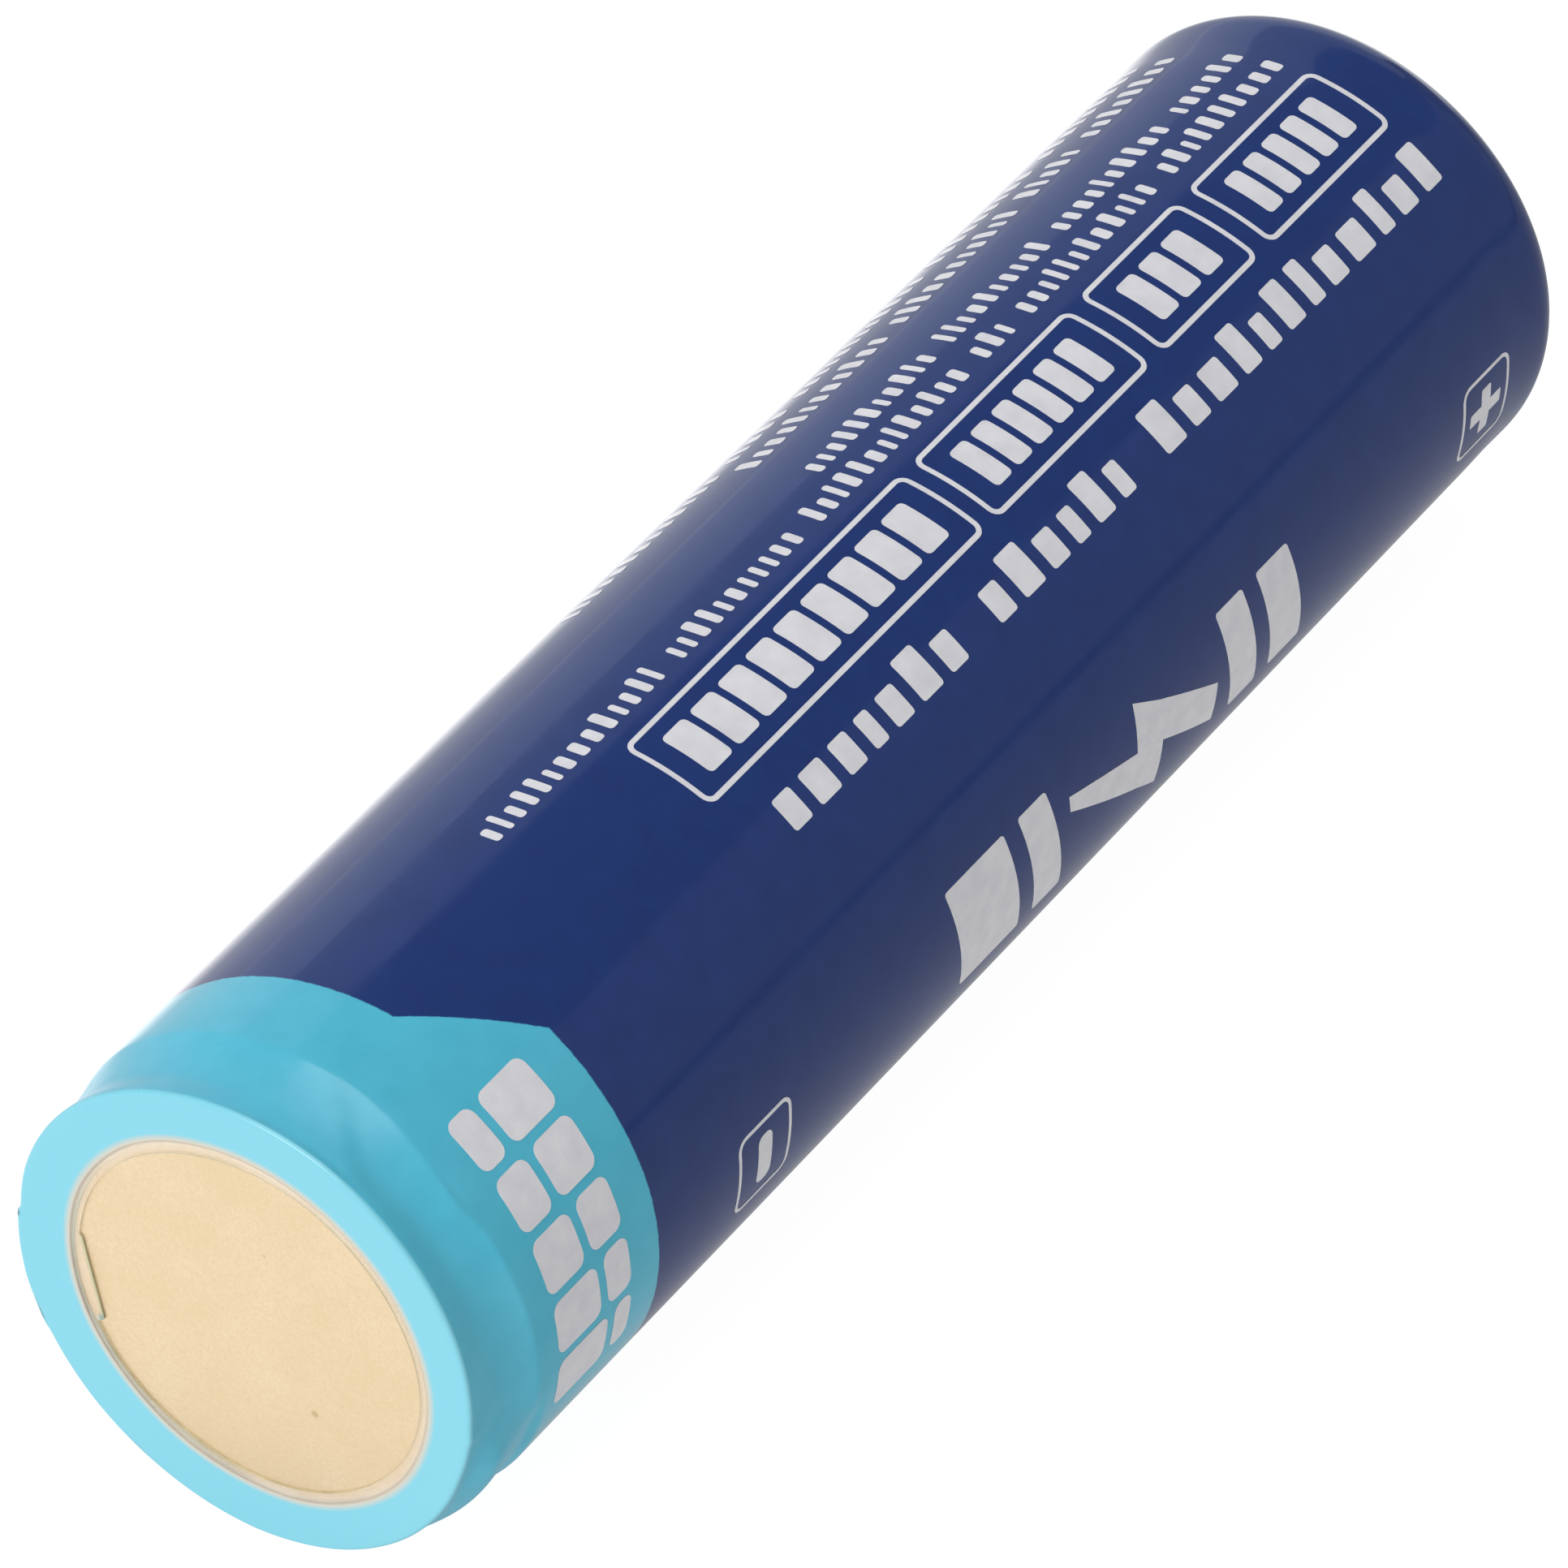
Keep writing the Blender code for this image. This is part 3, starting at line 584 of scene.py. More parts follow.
def printed_film():
    """Glossy sleeve film: navy, with a sky blue band at the negative end."""
    material, tree, principled = new_material("printed_film")
    distance, radius, angle = axial_parts(tree)
    past = past_sky_band(tree, distance, angle)
    mottle = map_range(tree, noise_node(tree, 900, 4), 0.3, 0.7)
    sky = mix_colours(tree, mottle, SKY, SKY_DEEP)
    navy = mix_colours(tree, mottle, NAVY, NAVY_DEEP)
    # The sky blue is painted lighter on the negative face, for the stronger light there
    on_face = map_range(tree, distance, 0.1, 0.2, 1.0, 0.0)
    sky = mix_colours(tree, on_face, sky, SKY_FACE_PAINTED_LIGHT)
    # Painted shade darkens the sky blue in the nick at the rim
    nick_shade = near_point(tree, place(0.12, RIM_RADIUS + 0.08, NICK_ANGLE), 0.12, 0.26)
    sky = mix_colours(tree, nick_shade, sky, NICK_PAINTED_SHADE)
    outside = math_node(tree, "SUBTRACT", radius, ink_edge_socket(tree, angle))
    inked = map_range(tree, outside, -INK_FADE * 0.4, INK_FADE * 0.9)
    sky = mix_colours(tree, inked, CREAM, sky)
    navy = mix_colours(tree, flecks(tree), navy, DUST)
    colour = mix_colours(tree, past, sky, navy)
    tree.links.new(colour, principled.inputs["Base Color"])
    solid = map_range(tree, outside, -INK_FADE, -INK_FADE * 0.3)
    tree.links.new(solid, principled.inputs["Alpha"])
    gloss = map_range(tree, noise_node(tree, 350, 3), 0.35, 0.65, 0.07, 0.13)
    stretched = map_range(tree, distance, 2.6, 3.6, 0.2, 0.0)
    gloss = math_node(tree, "ADD", gloss, stretched)
    tree.links.new(gloss, principled.inputs["Roughness"])
    principled.inputs["IOR"].default_value = 1.5
    peel = noise_node(tree, 1500, 2, stretch=(0.35, 1, 1))
    add_bump(tree, principled, peel, 0.000002)
    return material


def torn_shade_strip(tree, angle):
    """Mask of a narrow strip of painted shade along the straight torn edge of the film."""
    start = place(0, TEAR_START_RADIUS, TEAR_START)
    along = place(0, TEAR_END_RADIUS, TEAR_END) - start
    outward = along.cross(Vector((1, 0, 0))).normalized()
    if outward.dot(start - place(0, 0, 0)) < 0:
        outward = -outward
    node = tree.nodes.new("ShaderNodeVectorMath")
    node.operation = "DOT_PRODUCT"
    tree.links.new(coordinates(tree), node.inputs[0])
    node.inputs[1].default_value = outward
    depth = math_node(tree, "SUBTRACT", node.outputs["Value"], outward.dot(start))
    strip = map_range(tree, depth, 0.08 * MM, 0.15 * MM, 0.8, 0.0)
    half = (TEAR_END - TEAR_START) / 2
    away = off_value(tree, angle, TEAR_START + half)
    return math_node(tree, "MULTIPLY", strip, map_range(tree, away, half, half + 2, 1.0, 0.0))


def clear_film():
    """Unprinted margin of the sleeve: clear, milky towards the print, with painted shade along a faint
    fold, along the torn edge and in a crumple.
    """
    material, tree, principled = new_material("clear_film")
    _, radius, angle = axial_parts(tree)
    milky = map_range(tree, radius, CUT_EDGE + 0.05, INK_EDGE - 0.05, 0.16, 0.5)
    cloud = map_range(tree, noise_node(tree, 500, 2), 0.3, 0.7, -0.06, 0.06)
    haze = math_node(tree, "ADD", milky, cloud)
    # Painted shade along the fold line, which also makes the film less clear there
    folded = map_range(tree, off_value(tree, angle, FOLD_ANGLE), 45, 75, 1.0, 0.0)
    off_line = off_value(tree, radius, FOLD_RADIUS)
    fold = math_node(tree, "MULTIPLY", folded, map_range(tree, off_line, 0.015, 0.045, 0.65, 0.0))
    # Painted shade in the crumpled film where the tear starts
    crumple_shade = near_point(tree, place(0, 6.5, TEAR_START), 0.1, 0.28)
    crumple_shade = math_node(tree, "MULTIPLY", crumple_shade, 0.8)
    # The strip along the torn edge is painted shade too
    marks = ((fold, FOLD_SHADE_GREEN), (torn_shade_strip(tree, angle), TORN_EDGE_SHADE), (crumple_shade, CRUMPLE_SHADE_TEAL))
    colour = CLEAR
    for mark, tint in marks:
        haze = math_node(tree, "MAXIMUM", haze, mark)
        colour = mix_colours(tree, mark, colour, tint)
    tree.links.new(haze, principled.inputs["Alpha"])
    tree.links.new(colour, principled.inputs["Base Color"])
    principled.inputs["Roughness"].default_value = 0.15
    principled.inputs["IOR"].default_value = 1.48
    return material


def film_cut_shade():
    """Cut edge of the film, painted olive brown as the shade and refraction that darken the edge."""
    material, tree, principled = new_material("film_cut_shade")
    # Olive-brown painted shade and refraction on the cut edge, a little uneven
    fleck = map_range(tree, noise_node(tree, 1400, 3), 0.35, 0.65)
    colour = mix_colours(tree, fleck, (0.45, 0.46, 0.3), (0.62, 0.6, 0.42))
    tree.links.new(colour, principled.inputs["Base Color"])
    principled.inputs["Roughness"].default_value = 0.3
    principled.inputs["Alpha"].default_value = 0.75
    return material


def white_ink():
    """Pale grey print, a little uneven."""
    material, tree, principled = new_material("white_ink")
    patch = map_range(tree, noise_node(tree, 1300, 4), 0.3, 0.7)
    colour = mix_colours(tree, patch, (0.72, 0.72, 0.75), (0.64, 0.64, 0.68))
    tree.links.new(colour, principled.inputs["Base Color"])
    principled.inputs["Roughness"].default_value = 0.13
    principled.inputs["IOR"].default_value = 1.48
    add_bump(tree, principled, noise_node(tree, 1500, 2), 0.000002)
    return material


def gold_plate():
    """Matt gold finish of the contact plate, with a fine grain and a few stains."""
    material, tree, principled = new_material("gold_plate")
    grain = map_range(tree, noise_node(tree, 8000, 4, 0.75), 0.35, 0.65)
    cloud = map_range(tree, noise_node(tree, 450, 4), 0.35, 0.65)
    colour = mix_colours(tree, cloud, GOLD, GOLD_CLOUD)
    shade = mix_colours(tree, math_node(tree, "MULTIPLY", grain, 0.8), colour, GOLD_GRAIN)
    dots = tree.nodes.new("ShaderNodeTexVoronoi")
    dots.inputs["Scale"].default_value = 360
    tree.links.new(coordinates(tree), dots.inputs["Vector"])
    stain = map_range(tree, dots.outputs["Distance"], 0.02, 0.04, 0.3, 0.0)
    spot = near_point(tree, place(PLATE_FACE, *MAIN_SPOT), 0.1, 0.17)
    stain = math_node(tree, "MAXIMUM", stain, math_node(tree, "MULTIPLY", spot, 0.45))
    shade = mix_colours(tree, stain, shade, STAIN)
    tree.links.new(shade, principled.inputs["Base Color"])
    principled.inputs["Metallic"].default_value = 1.0
    rough = map_range(tree, grain, 0, 1, 0.38, 0.5)
    tree.links.new(rough, principled.inputs["Roughness"])
    add_bump(tree, principled, grain, 0.000006)
    return material


def plain_surface(name, colours, rough, metal=0.0, grain=1500, relief=0.000003, stretch=None):
    """Procedural finish with a two-tone grain, uneven gloss and slight relief."""
    material, tree, principled = new_material(name)
    fac = noise_node(tree, grain, 4, 0.6, stretch)
    blend = map_range(tree, fac, 0.3, 0.7)
    tree.links.new(mix_colours(tree, blend, *colours), principled.inputs["Base Color"])
    gloss = map_range(tree, fac, 0.3, 0.7, rough * 0.85, rough * 1.15)
    tree.links.new(gloss, principled.inputs["Roughness"])
    principled.inputs["Metallic"].default_value = metal
    add_bump(tree, principled, fac, relief)
    return material


# ---- sleeve


def film_rows():
    """Distances of the film's rings of points: close over the board and the bead, and
    wide along the can."""
    rows = [RIM_CORNER]
    for step, stop in ((0.1, 4.6), (1.6, 62), (0.3, SLEEVE_LENGTH - SHOULDER_CORNER - 0.1)):
        while rows[-1] + step < stop:
            rows.append(rows[-1] + step)
    return rows


def make_sleeve(film):
    """The printed film, from its ink edge on the negative face to its far opening."""
    bm = bmesh.new()
    angles = [360 * i / FILM_COLUMNS - 180 for i in range(FILM_COLUMNS)]
    rings = []

    def add_ring(station):
        rings.append([bm.verts.new(place(*station(angle), angle)) for angle in angles])

    face_steps = 14
    for i in range(face_steps + 1):
        t = i / face_steps

        def on_face(angle):
            start = ink_edge(angle) - INK_FADE
            radius = start + (rim_radius(angle) - RIM_CORNER - start) * t
            return face_height(radius, angle), radius

        add_ring(on_face)
    corner_steps = 5
    for i in range(1, corner_steps):
        turn = math.pi / 2 * i / corner_steps
        height = RIM_CORNER * (1 - math.cos(turn))
        reach = RIM_CORNER * (1 - math.sin(turn))
        add_ring(lambda angle: (height, film_radius(RIM_CORNER, angle) - reach))
    for z in film_rows():
        add_ring(lambda angle: (z, film_radius(z, angle)))
    shoulder_steps = 14
    for i in range(shoulder_steps + 1):
        turn = math.pi / 2 * i / shoulder_steps

        def on_shoulder(angle):
            corner = shoulder_corner(angle)
            z = SLEEVE_LENGTH - corner * (1 - math.sin(turn))
            radius = film_radius(SLEEVE_LENGTH - corner, angle) - corner * (1 - math.cos(turn))
            return z, radius

        add_ring(on_shoulder)
    end_steps = 8
    for i in range(1, end_steps + 1):
        t = i / end_steps

        def on_end(angle):
            turn = math.radians(angle)
            outer = BARREL_RADIUS - shoulder_corner(angle)
            dent = 0.02 * (1 + math.sin(11 * turn) * math.sin(3 * turn + 1)) * t
            radius = outer + (FAR_OPENING - outer) * t + 0.06 * math.sin(3 * turn + 0.5) * t
            return SLEEVE_LENGTH - dent, radius

        add_ring(on_end)
    for low, high in zip(rings, rings[1:]):
        bridge(bm, low, high)
    sleeve = finish_mesh(bm, "printed_sleeve", [film])
    solidify = sleeve.modifiers.new("film_wall", "SOLIDIFY")
    solidify.thickness = FILM_WALL * MM
    solidify.offset = -1
    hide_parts("outer_sleeve")
    return sleeve


def make_clear_margin(film, cut):
    """The unprinted margin between the ink edge and the cut edge of the film."""
    bm = bmesh.new()
    fine = FILM_COLUMNS * 2
    angles = [360 * i / fine - 180 for i in range(fine)]
    top, base = [], []
    steps = 5
    for i in range(steps + 1):
        t = i / steps
        upper, lower = [], []
        for angle in angles:
            end = ink_edge(angle) + INK_FADE
            start = cut_edge(angle)
            radius = start + (end - start) * t
            fold = FOLD_HEIGHT * bump(radius, FOLD_RADIUS, 0.05)
            fold *= bump(turn_between(angle, FOLD_ANGLE), 0, 40)
            height = face_height(radius, angle) + fold + CLEAR_DROP
            upper.append(bm.verts.new(place(height, radius, angle)))
            lower.append(bm.verts.new(place(height + FILM_WALL - 0.02, radius, angle)))
        top.append(upper)
        base.append(lower)
    for low, high in zip(top, top[1:]):
        bridge(bm, low, high)
    for low, high in zip(base, base[1:]):
        bridge(bm, high, low)
    bridge(bm, base[0], top[0], material=1)
    bridge(bm, top[-1], base[-1])
    margin = finish_mesh(bm, "clear_margin", [film, cut])
    sharpen(margin, 40)
    return margin


def make_contact_plate(gold):
    """Gold-plated disc seen through the sleeve's opening."""
    back = (pad_high[0] - NEGATIVE_END) / MM
    radius = (pad_high[2] - pad_low[2]) / 2 / MM
    rings = 6
    outline = [(PLATE_FACE, radius * i / rings) for i in range(rings)]
    outline += arc_points(PLATE_FACE + 0.03, radius - 0.03, 0.03, 180, 90, 3)
    outline += [(back, radius), (back, 0)]
    plate = turned("contact_plate", outline, PLATE_STEPS, gold)
    sharpen(plate, 40)
    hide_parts("negative_contact_pad")
    return plate


def make_cover_ring(paper):
    """White paper ring on the positive end."""
    z0 = (ring_low[0] - NEGATIVE_END) / MM
    z1 = (ring_high[0] - NEGATIVE_END) / MM
    outer = (ring_high[2] - ring_low[2]) / 2 / MM
    inner = COVER_HOLE_RADIUS
    soft = 0.06
    outline = [(z0, inner), (z1 - soft, inner), (z1 - soft * 0.3, inner + soft * 0.3)]
    outline += [(z1, inner + soft), (z1, inner + 1.1), (z1, inner + 2.1), (z1, outer - soft)]
    outline += [(z1 - soft, outer), (z0, outer)]
    cover = turned("cover_ring", outline, TURNED_STEPS, paper)
    sharpen(cover, 40)
    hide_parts("positive_cover_ring")
    return cover


def make_button(metal):
    """Pressed nickel button with a dished flange and a rounded crown."""
    base = (button_low[0] - NEGATIVE_END) / MM
    tip = CELL_LENGTH
    flange = (button_high[2] - button_low[2]) / 2 / MM
    wall = 0.25
    crown = 2.8
    corner = 0.35
    foot = 0.15
    outline = [(tip - 0.03, 0), (tip - 0.03, 0.6), (tip - 0.01, 1.4)]
    outline += arc_points(tip - corner, crown - corner, corner, 0, 90, 8)
    outline += arc_points(base + wall + foot, crown + foot, foot, 270, 180, 4)
    outline += arc_points(base + wall / 2, flange - wall / 2, wall / 2, 0, 180, 6)
    inside = crown - wall
    outline += arc_points(base + wall + foot, crown + foot, foot + wall, 180, 270, 5)
    outline += arc_points(tip - corner, crown - corner, corner - 0.2, 90, 0, 4)
    outline += [(tip - wall, inside * 0.4), (tip - wall, 0)]
    button = turned("button_contact", outline, TURNED_STEPS, metal)
    sharpen(button, 50)
    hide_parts("button_top")
    return button


# ---- print on the sleeve


def film_point(z, arc, lift):
    """Point just above the film; arc is a length in mm round from straight up."""
    angle = math.degrees(arc / BARREL_RADIUS)
    return place(z, film_radius(z, angle) + lift, angle)


def closer_stations(stations):
    """The stations with more between them, so that no step across is long."""
    result = [stations[0]]
    for first, last in zip(stations, stations[1:]):
        longest = max(abs(b - a) for a, b in zip(first, last))
        steps = max(1, math.ceil(longest / LONGEST_STEP))
        for i in range(1, steps + 1):
            result.append(tuple(a + (b - a) * i / steps for a, b in zip(first, last)))
    return result


def add_band(bm, stations, slant=0.0):
    """Thin closed patch of ink through stations of (z, lowest arc, highest arc)."""
    stations = closer_stations(stations)
    tallest = max(high - low for _, low, high in stations)
    middle = sum(low + high for _, low, high in stations) / 2 / len(stations)
    rows = max(1, math.ceil(tallest / LONGEST_ROW))
    sheets = []
    for lift in (PRINT_TOP, PRINT_BASE):
        columns = []
        for z, low, high in stations:
            column = []
            for k in range(rows + 1):
                arc = low + (high - low) * k / rows
                point = film_point(z + slant * (arc - middle), arc, lift)
                column.append(bm.verts.new(point))
            columns.append(column)
        sheets.append(columns)
    top, base = sheets
    for low, high in zip(top, top[1:]):
        bridge(bm, low, high, closed=False)
    for low, high in zip(base, base[1:]):
        bridge(bm, high, low, closed=False)
    count = len(stations)
    around = [(i, 0) for i in range(count)]
    around += [(count - 1, k) for k in range(1, rows + 1)]
    around += [(i, rows) for i in range(count - 2, -1, -1)]
    around += [(0, k) for k in range(rows - 1, 0, -1)]
    bridge(bm, [top[i][k] for i, k in around], [base[i][k] for i, k in around])


def add_block(bm, z0, z1, arc0, arc1, corner, slant=0.0, steps=3):
    """Rounded block of ink between two distances and two arcs."""
    stations = []
    for i in range(steps + 1):
        turn = math.pi / 2 * i / steps
        inset = corner * (1 - math.sin(turn))
        stations.append((z0 + corner * (1 - math.cos(turn)), arc0 + inset, arc1 - inset))
    for i in range(steps, -1, -1):
        turn = math.pi / 2 * i / steps
        inset = corner * (1 - math.sin(turn))
        stations.append((z1 - corner * (1 - math.cos(turn)), arc0 + inset, arc1 - inset))
    add_band(bm, stations, slant)


def frame_loop(z0, z1, arc0, arc1, corner):
    """Points (z, arc) round a rounded rectangle, with extra points along its arcs."""
    loop = []
    corner_steps = 5
    side_steps = 8
    corners = (
        (z1 - corner, arc1 - corner, 0),
        (z0 + corner, arc1 - corner, 90),
        (z0 + corner, arc0 + corner, 180),
        (z1 - corner, arc0 + corner, 270),
    )
    for index, (z, arc, start) in enumerate(corners):
        for i in range(corner_steps + 1):
            turn = math.radians(start + 90 * i / corner_steps)
            loop.append((z + corner * math.cos(turn), arc + corner * math.sin(turn)))
        if index % 2:
            last = loop[-1]
            run = (arc0 + corner) if index == 1 else (arc1 - corner)
            for i in range(1, side_steps):
                loop.append((last[0], last[1] + (run - last[1]) * i / side_steps))
    return loop


def add_frame(bm, z0, z1, arc0, arc1, corner, line):
    """Rounded outline of ink, a line wide."""
    outer = frame_loop(z0, z1, arc0, arc1, corner)
    inner = frame_loop(z0 + line, z1 - line, arc0 + line, arc1 - line, corner - line)
    loops = []
    for points, lift in (
        (outer, PRINT_BASE),
        (outer, PRINT_TOP),
        (inner, PRINT_TOP),
        (inner, PRINT_BASE),
    ):
        loops.append([bm.verts.new(film_point(z, arc, lift)) for z, arc in points])
    for low, high in zip(loops, loops[1:] + loops[:1]):
        bridge(bm, low, high)


def arc_of(angle):
    """Arc in mm of an angle in degrees."""
    return math.radians(angle) * BARREL_RADIUS


def print_piece(name, bm, ink):
    """One printed motif as a piece of its own."""
    piece = finish_mesh(bm, name, [ink], smooth_faces=False)
    return piece


def add_pattern_line(bm, z0, z1, middle, height, unit, seed, groups, openness=0.55):
    """A line of small rounded blocks in groups, which fills z0 to z1."""
    draw = random.Random(seed)
    widths = []
    for count in groups:
        for _ in range(count):
            widths.append(unit * draw.choice((0.75, 1.0, 1.0, 1.2)))
        widths.append(None)
    widths.pop()
    gap = unit * openness
    space = unit * (openness + 0.9)
    total = sum(space if w is None else w + gap for w in widths) - gap
    scale = (z1 - z0) / total
    z = z1
    for width in widths:
        if width is None:
            z -= space * scale
            continue
        tall = draw.random() < 0.3
        top = height / 2 if tall else height * 0.24
        corner = min(0.12, width / 3)
        add_block(bm, z - width * scale, z, middle - top, middle + height / 2, corner, steps=2)
        z -= (width + gap) * scale


# Outline of the bolt: distance, lowest and highest arc, in half lengths and half heights
BOLT = (
    (-1.0, -0.26, -0.14),
    (-0.1, -0.05, 0.27),
    (-0.095, -0.45, 0.27),
    (0.245, -0.28, 0.45),
    (0.25, -0.28, 0.06),
    (1.0, 0.06, 0.4),
)


def bolt_stations(centre, half_length, middle, half_height):
    """Stations of a lightning bolt that lies along the barrel."""
    stations = []
    for z, low, high in BOLT:
        ends = (middle + half_height * low, middle + half_height * high)
        stations.append((centre + half_length * z, *ends))
    return stations


# Small lines: start, end, angle, height, seed, blocks in each group
SMALL_LINES = (
    (15.2, 63.9, -5.9, 1.05, 11, (10, 12, 3, 13, 11, 14)),
    (36.8, 63.8, -15.6, 1.0, 12, (6, 10, 10, 11)),
    (36.9, 63.6, -33.9, 1.15, 13, (8, 5, 11, 12)),
    (28.3, 63.6, -45.0, 1.05, 14, (9, 9, 12, 5, 13)),
)
# Framed boxes: start, end, blocks inside
BOXES = ((56.1, 64.1, 5), (49.1, 55.3, 3), (38.6, 48.3, 6), (21.2, 37.9, 9))
BOX_ANGLES = (2.4, 24.8)
MARK_ANGLES = (83.4, 104.4)
EMBLEM_ANGLES = (75.5, 106.0)
EMBLEM_BARS = ((28.0, 31.6), (32.5, 34.2), (45.0, 46.7), (47.6, 49.6))


def make_print(ink):
    """All the print, as generic blocks, frames and marks."""
    # Level blocks on the sky blue band, each split a little further along than the last
    bm = bmesh.new()
    pitch = arc_of(15.0)
    z0, z1, slit = 4.2, 8.36, 0.4
    for i in range(5):
        start = arc_of(32.2) + pitch * i
        end = start + pitch * 0.85
        split = z0 + 1.3 + 0.38 * i
        add_block(bm, z0, split, start, end, 0.4, steps=5)
        add_block(bm, split + slit, z1, start, end, 0.4, steps=5)
    print_piece("level_blocks", bm, ink)

    # Bold line
    bm = bmesh.new()
    add_pattern_line(bm, 23, 64, arc_of(35.4), 1.75, 1.0, 5, (12, 6, 7))
    print_piece("bold_line", bm, ink)

    # Small lines
    bm = bmesh.new()
    for z0, z1, angle, height, seed, groups in SMALL_LINES:
        add_pattern_line(bm, z0, z1, arc_of(angle), height, 0.4, seed, groups, 1.0)
    print_piece("small_lines", bm, ink)

    # Four framed boxes of blocks
    bm = bmesh.new()
    low, high = (arc_of(angle) for angle in BOX_ANGLES)
    for z0, z1, count in BOXES:
        add_frame(bm, z0, z1, low, high, 0.45, 0.2)
        inset, margin, half_gap = 0.95, 0.76, 0.17
        step = (z1 - z0 - 2 * inset) / count
        for i in range(count):
            start = z0 + inset + step * i + half_gap
            add_block(bm, start, start + step - 2 * half_gap, low + margin, high - margin, 0.2)
    print_piece("framed_boxes", bm, ink)

    # Polarity marks
    low, high = (arc_of(angle) for angle in MARK_ANGLES)
    middle = (low + high) / 2
    bm = bmesh.new()
    add_frame(bm, 14.7, 17.8, low, high, 0.5, 0.15)
    add_block(bm, 15.85, 16.65, middle - 1.05, middle + 1.05, 0.3, steps=4)
    print_piece("minus_mark", bm, ink)
    bm = bmesh.new()
    add_frame(bm, 60.5, 63.6, low, high, 0.5, 0.15)
    arm, half, centre = 1.0, 0.3, 62.05
    add_block(bm, centre - half, centre + half, middle - arm, middle + arm, 0.08)
    for side in (-1, 1):
        ends = sorted((centre + side * (half + 0.002), centre + side * arm))
        add_block(bm, ends[0], ends[1], middle - half, middle + half, 0.06)
    print_piece("plus_mark", bm, ink)

    # Emblem: a lightning bolt between slanting bars
    bm = bmesh.new()
    low, high = (arc_of(angle) for angle in EMBLEM_ANGLES)
    middle = (low + high) / 2
    for z0, z1 in EMBLEM_BARS:
        add_block(bm, z0, z1, low, high, 0.15, 0.22)
    add_band(bm, bolt_stations(39.6, 4.7, middle, 5.2))
    print_piece("emblem", bm, ink)


# ---- finishes of the CAD nodes


# Finishes of the CAD nodes: nodes, finish, two tones, roughness, other settings
INNER_FINISHES = (
    (("inner_sleeve",), "inner_film",
     ((0.7, 0.72, 0.74), (0.62, 0.64, 0.66)), 0.18, {"grain": 900}),
    (("strip_insulating_tape",), "polyimide_tape",
     ((0.62, 0.29, 0.05), (0.5, 0.22, 0.03)), 0.22, {"grain": 700}),
    (("positive_strip", "negative_link_tab", "negative_tab"), "nickel_strip",
     ((0.66, 0.63, 0.58), (0.58, 0.56, 0.52)), 0.3, {"metal": 1.0, "grain": 900, "stretch": (0.1, 1, 1)}),
    (("protection_board",), "glass_epoxy",
     ((0.02, 0.16, 0.06), (0.03, 0.2, 0.08)), 0.4, {"grain": 2500}),
    (("board_spacer_ring",), "spacer_plastic",
     ((0.1, 0.1, 0.11), (0.13, 0.13, 0.14)), 0.5, {}),
    (("protection_ic", "mosfet_a", "mosfet_b", "sense_resistor"), "chip_epoxy",
     ((0.02, 0.02, 0.022), (0.03, 0.03, 0.032)), 0.55, {"grain": 4000}),
    (("supply_resistor",), "resistor_body",
     ((0.03, 0.03, 0.035), (0.05, 0.05, 0.055)), 0.4, {"grain": 4000}),
    (("filter_capacitor",), "capacitor_body",
     ((0.42, 0.27, 0.14), (0.36, 0.22, 0.11)), 0.45, {"grain": 4000}),
    (("solder_joint_positive", "solder_joint_negative"), "solder",
     ((0.62, 0.62, 0.62), (0.52, 0.52, 0.53)), 0.28, {"metal": 1.0, "grain": 3000}),
    (("bottom_insulating_disc", "bottom_roll_insulator", "top_roll_insulator"), "fibre_paper",
     ((0.42, 0.45, 0.38), (0.36, 0.39, 0.33)), 0.85, {"grain": 3500}),
    (("cell_can",), "can_steel",
     ((0.6, 0.6, 0.59), (0.54, 0.54, 0.54)), 0.25, {"metal": 1.0, "grain": 1200, "stretch": (0.08, 1, 1)}),
    (("cathode",), "cathode_coating",
     ((0.03, 0.03, 0.032), (0.045, 0.045, 0.047)), 0.8, {"grain": 6000}),
    (("anode",), "anode_coating",
     ((0.06, 0.06, 0.062), (0.08, 0.08, 0.083)), 0.75, {"grain": 6000}),
    (("separator_inner", "separator_outer"), "separator_film",
     ((0.85, 0.85, 0.84), (0.8, 0.8, 0.79)), 0.5, {"grain": 3000}),
    (("roll_closing_tape",), "closing_tape",
     ((0.05, 0.32, 0.2), (0.04, 0.27, 0.17)), 0.3, {"grain": 900}),
    (("positive_tab", "safety_vent_disc"), "aluminium_foil",
     ((0.8, 0.8, 0.81), (0.73, 0.73, 0.74)), 0.35, {"metal": 1.0, "grain": 1500, "stretch": (0.2, 1, 1)}),
    (("crimp_gasket", "cid_insulator_ring"), "gasket_plastic",
     ((0.06, 0.09, 0.16), (0.05, 0.07, 0.13)), 0.45, {}),
    (("cid_plate",), "cid_metal",
     ((0.74, 0.74, 0.75), (0.68, 0.68, 0.69)), 0.38, {"metal": 1.0, "grain": 2000}),
    (("ptc_ring",), "ptc_polymer",
     ((0.16, 0.15, 0.14), (0.12, 0.11, 0.1)), 0.6, {"grain": 3000}),
    (("top_cap",), "cap_steel",
     ((0.6, 0.59, 0.57), (0.54, 0.53, 0.52)), 0.28, {"metal": 1.0, "grain": 1500}),
    (("crimp_insulator_ring",), "crimp_paper",
     ((0.8, 0.8, 0.78), (0.72, 0.72, 0.7)), 0.85, {"grain": 3500}),
)


def finish_inner_parts():
    """Gives every carried-over CAD node its procedural finish."""
    for names, finish, tones, rough, settings in INNER_FINISHES:
        material = plain_surface(finish, tones, rough, **settings)
        for name in names:
            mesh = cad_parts[name].data
            mesh.materials.clear()
            mesh.materials.append(material)


# ---- studio


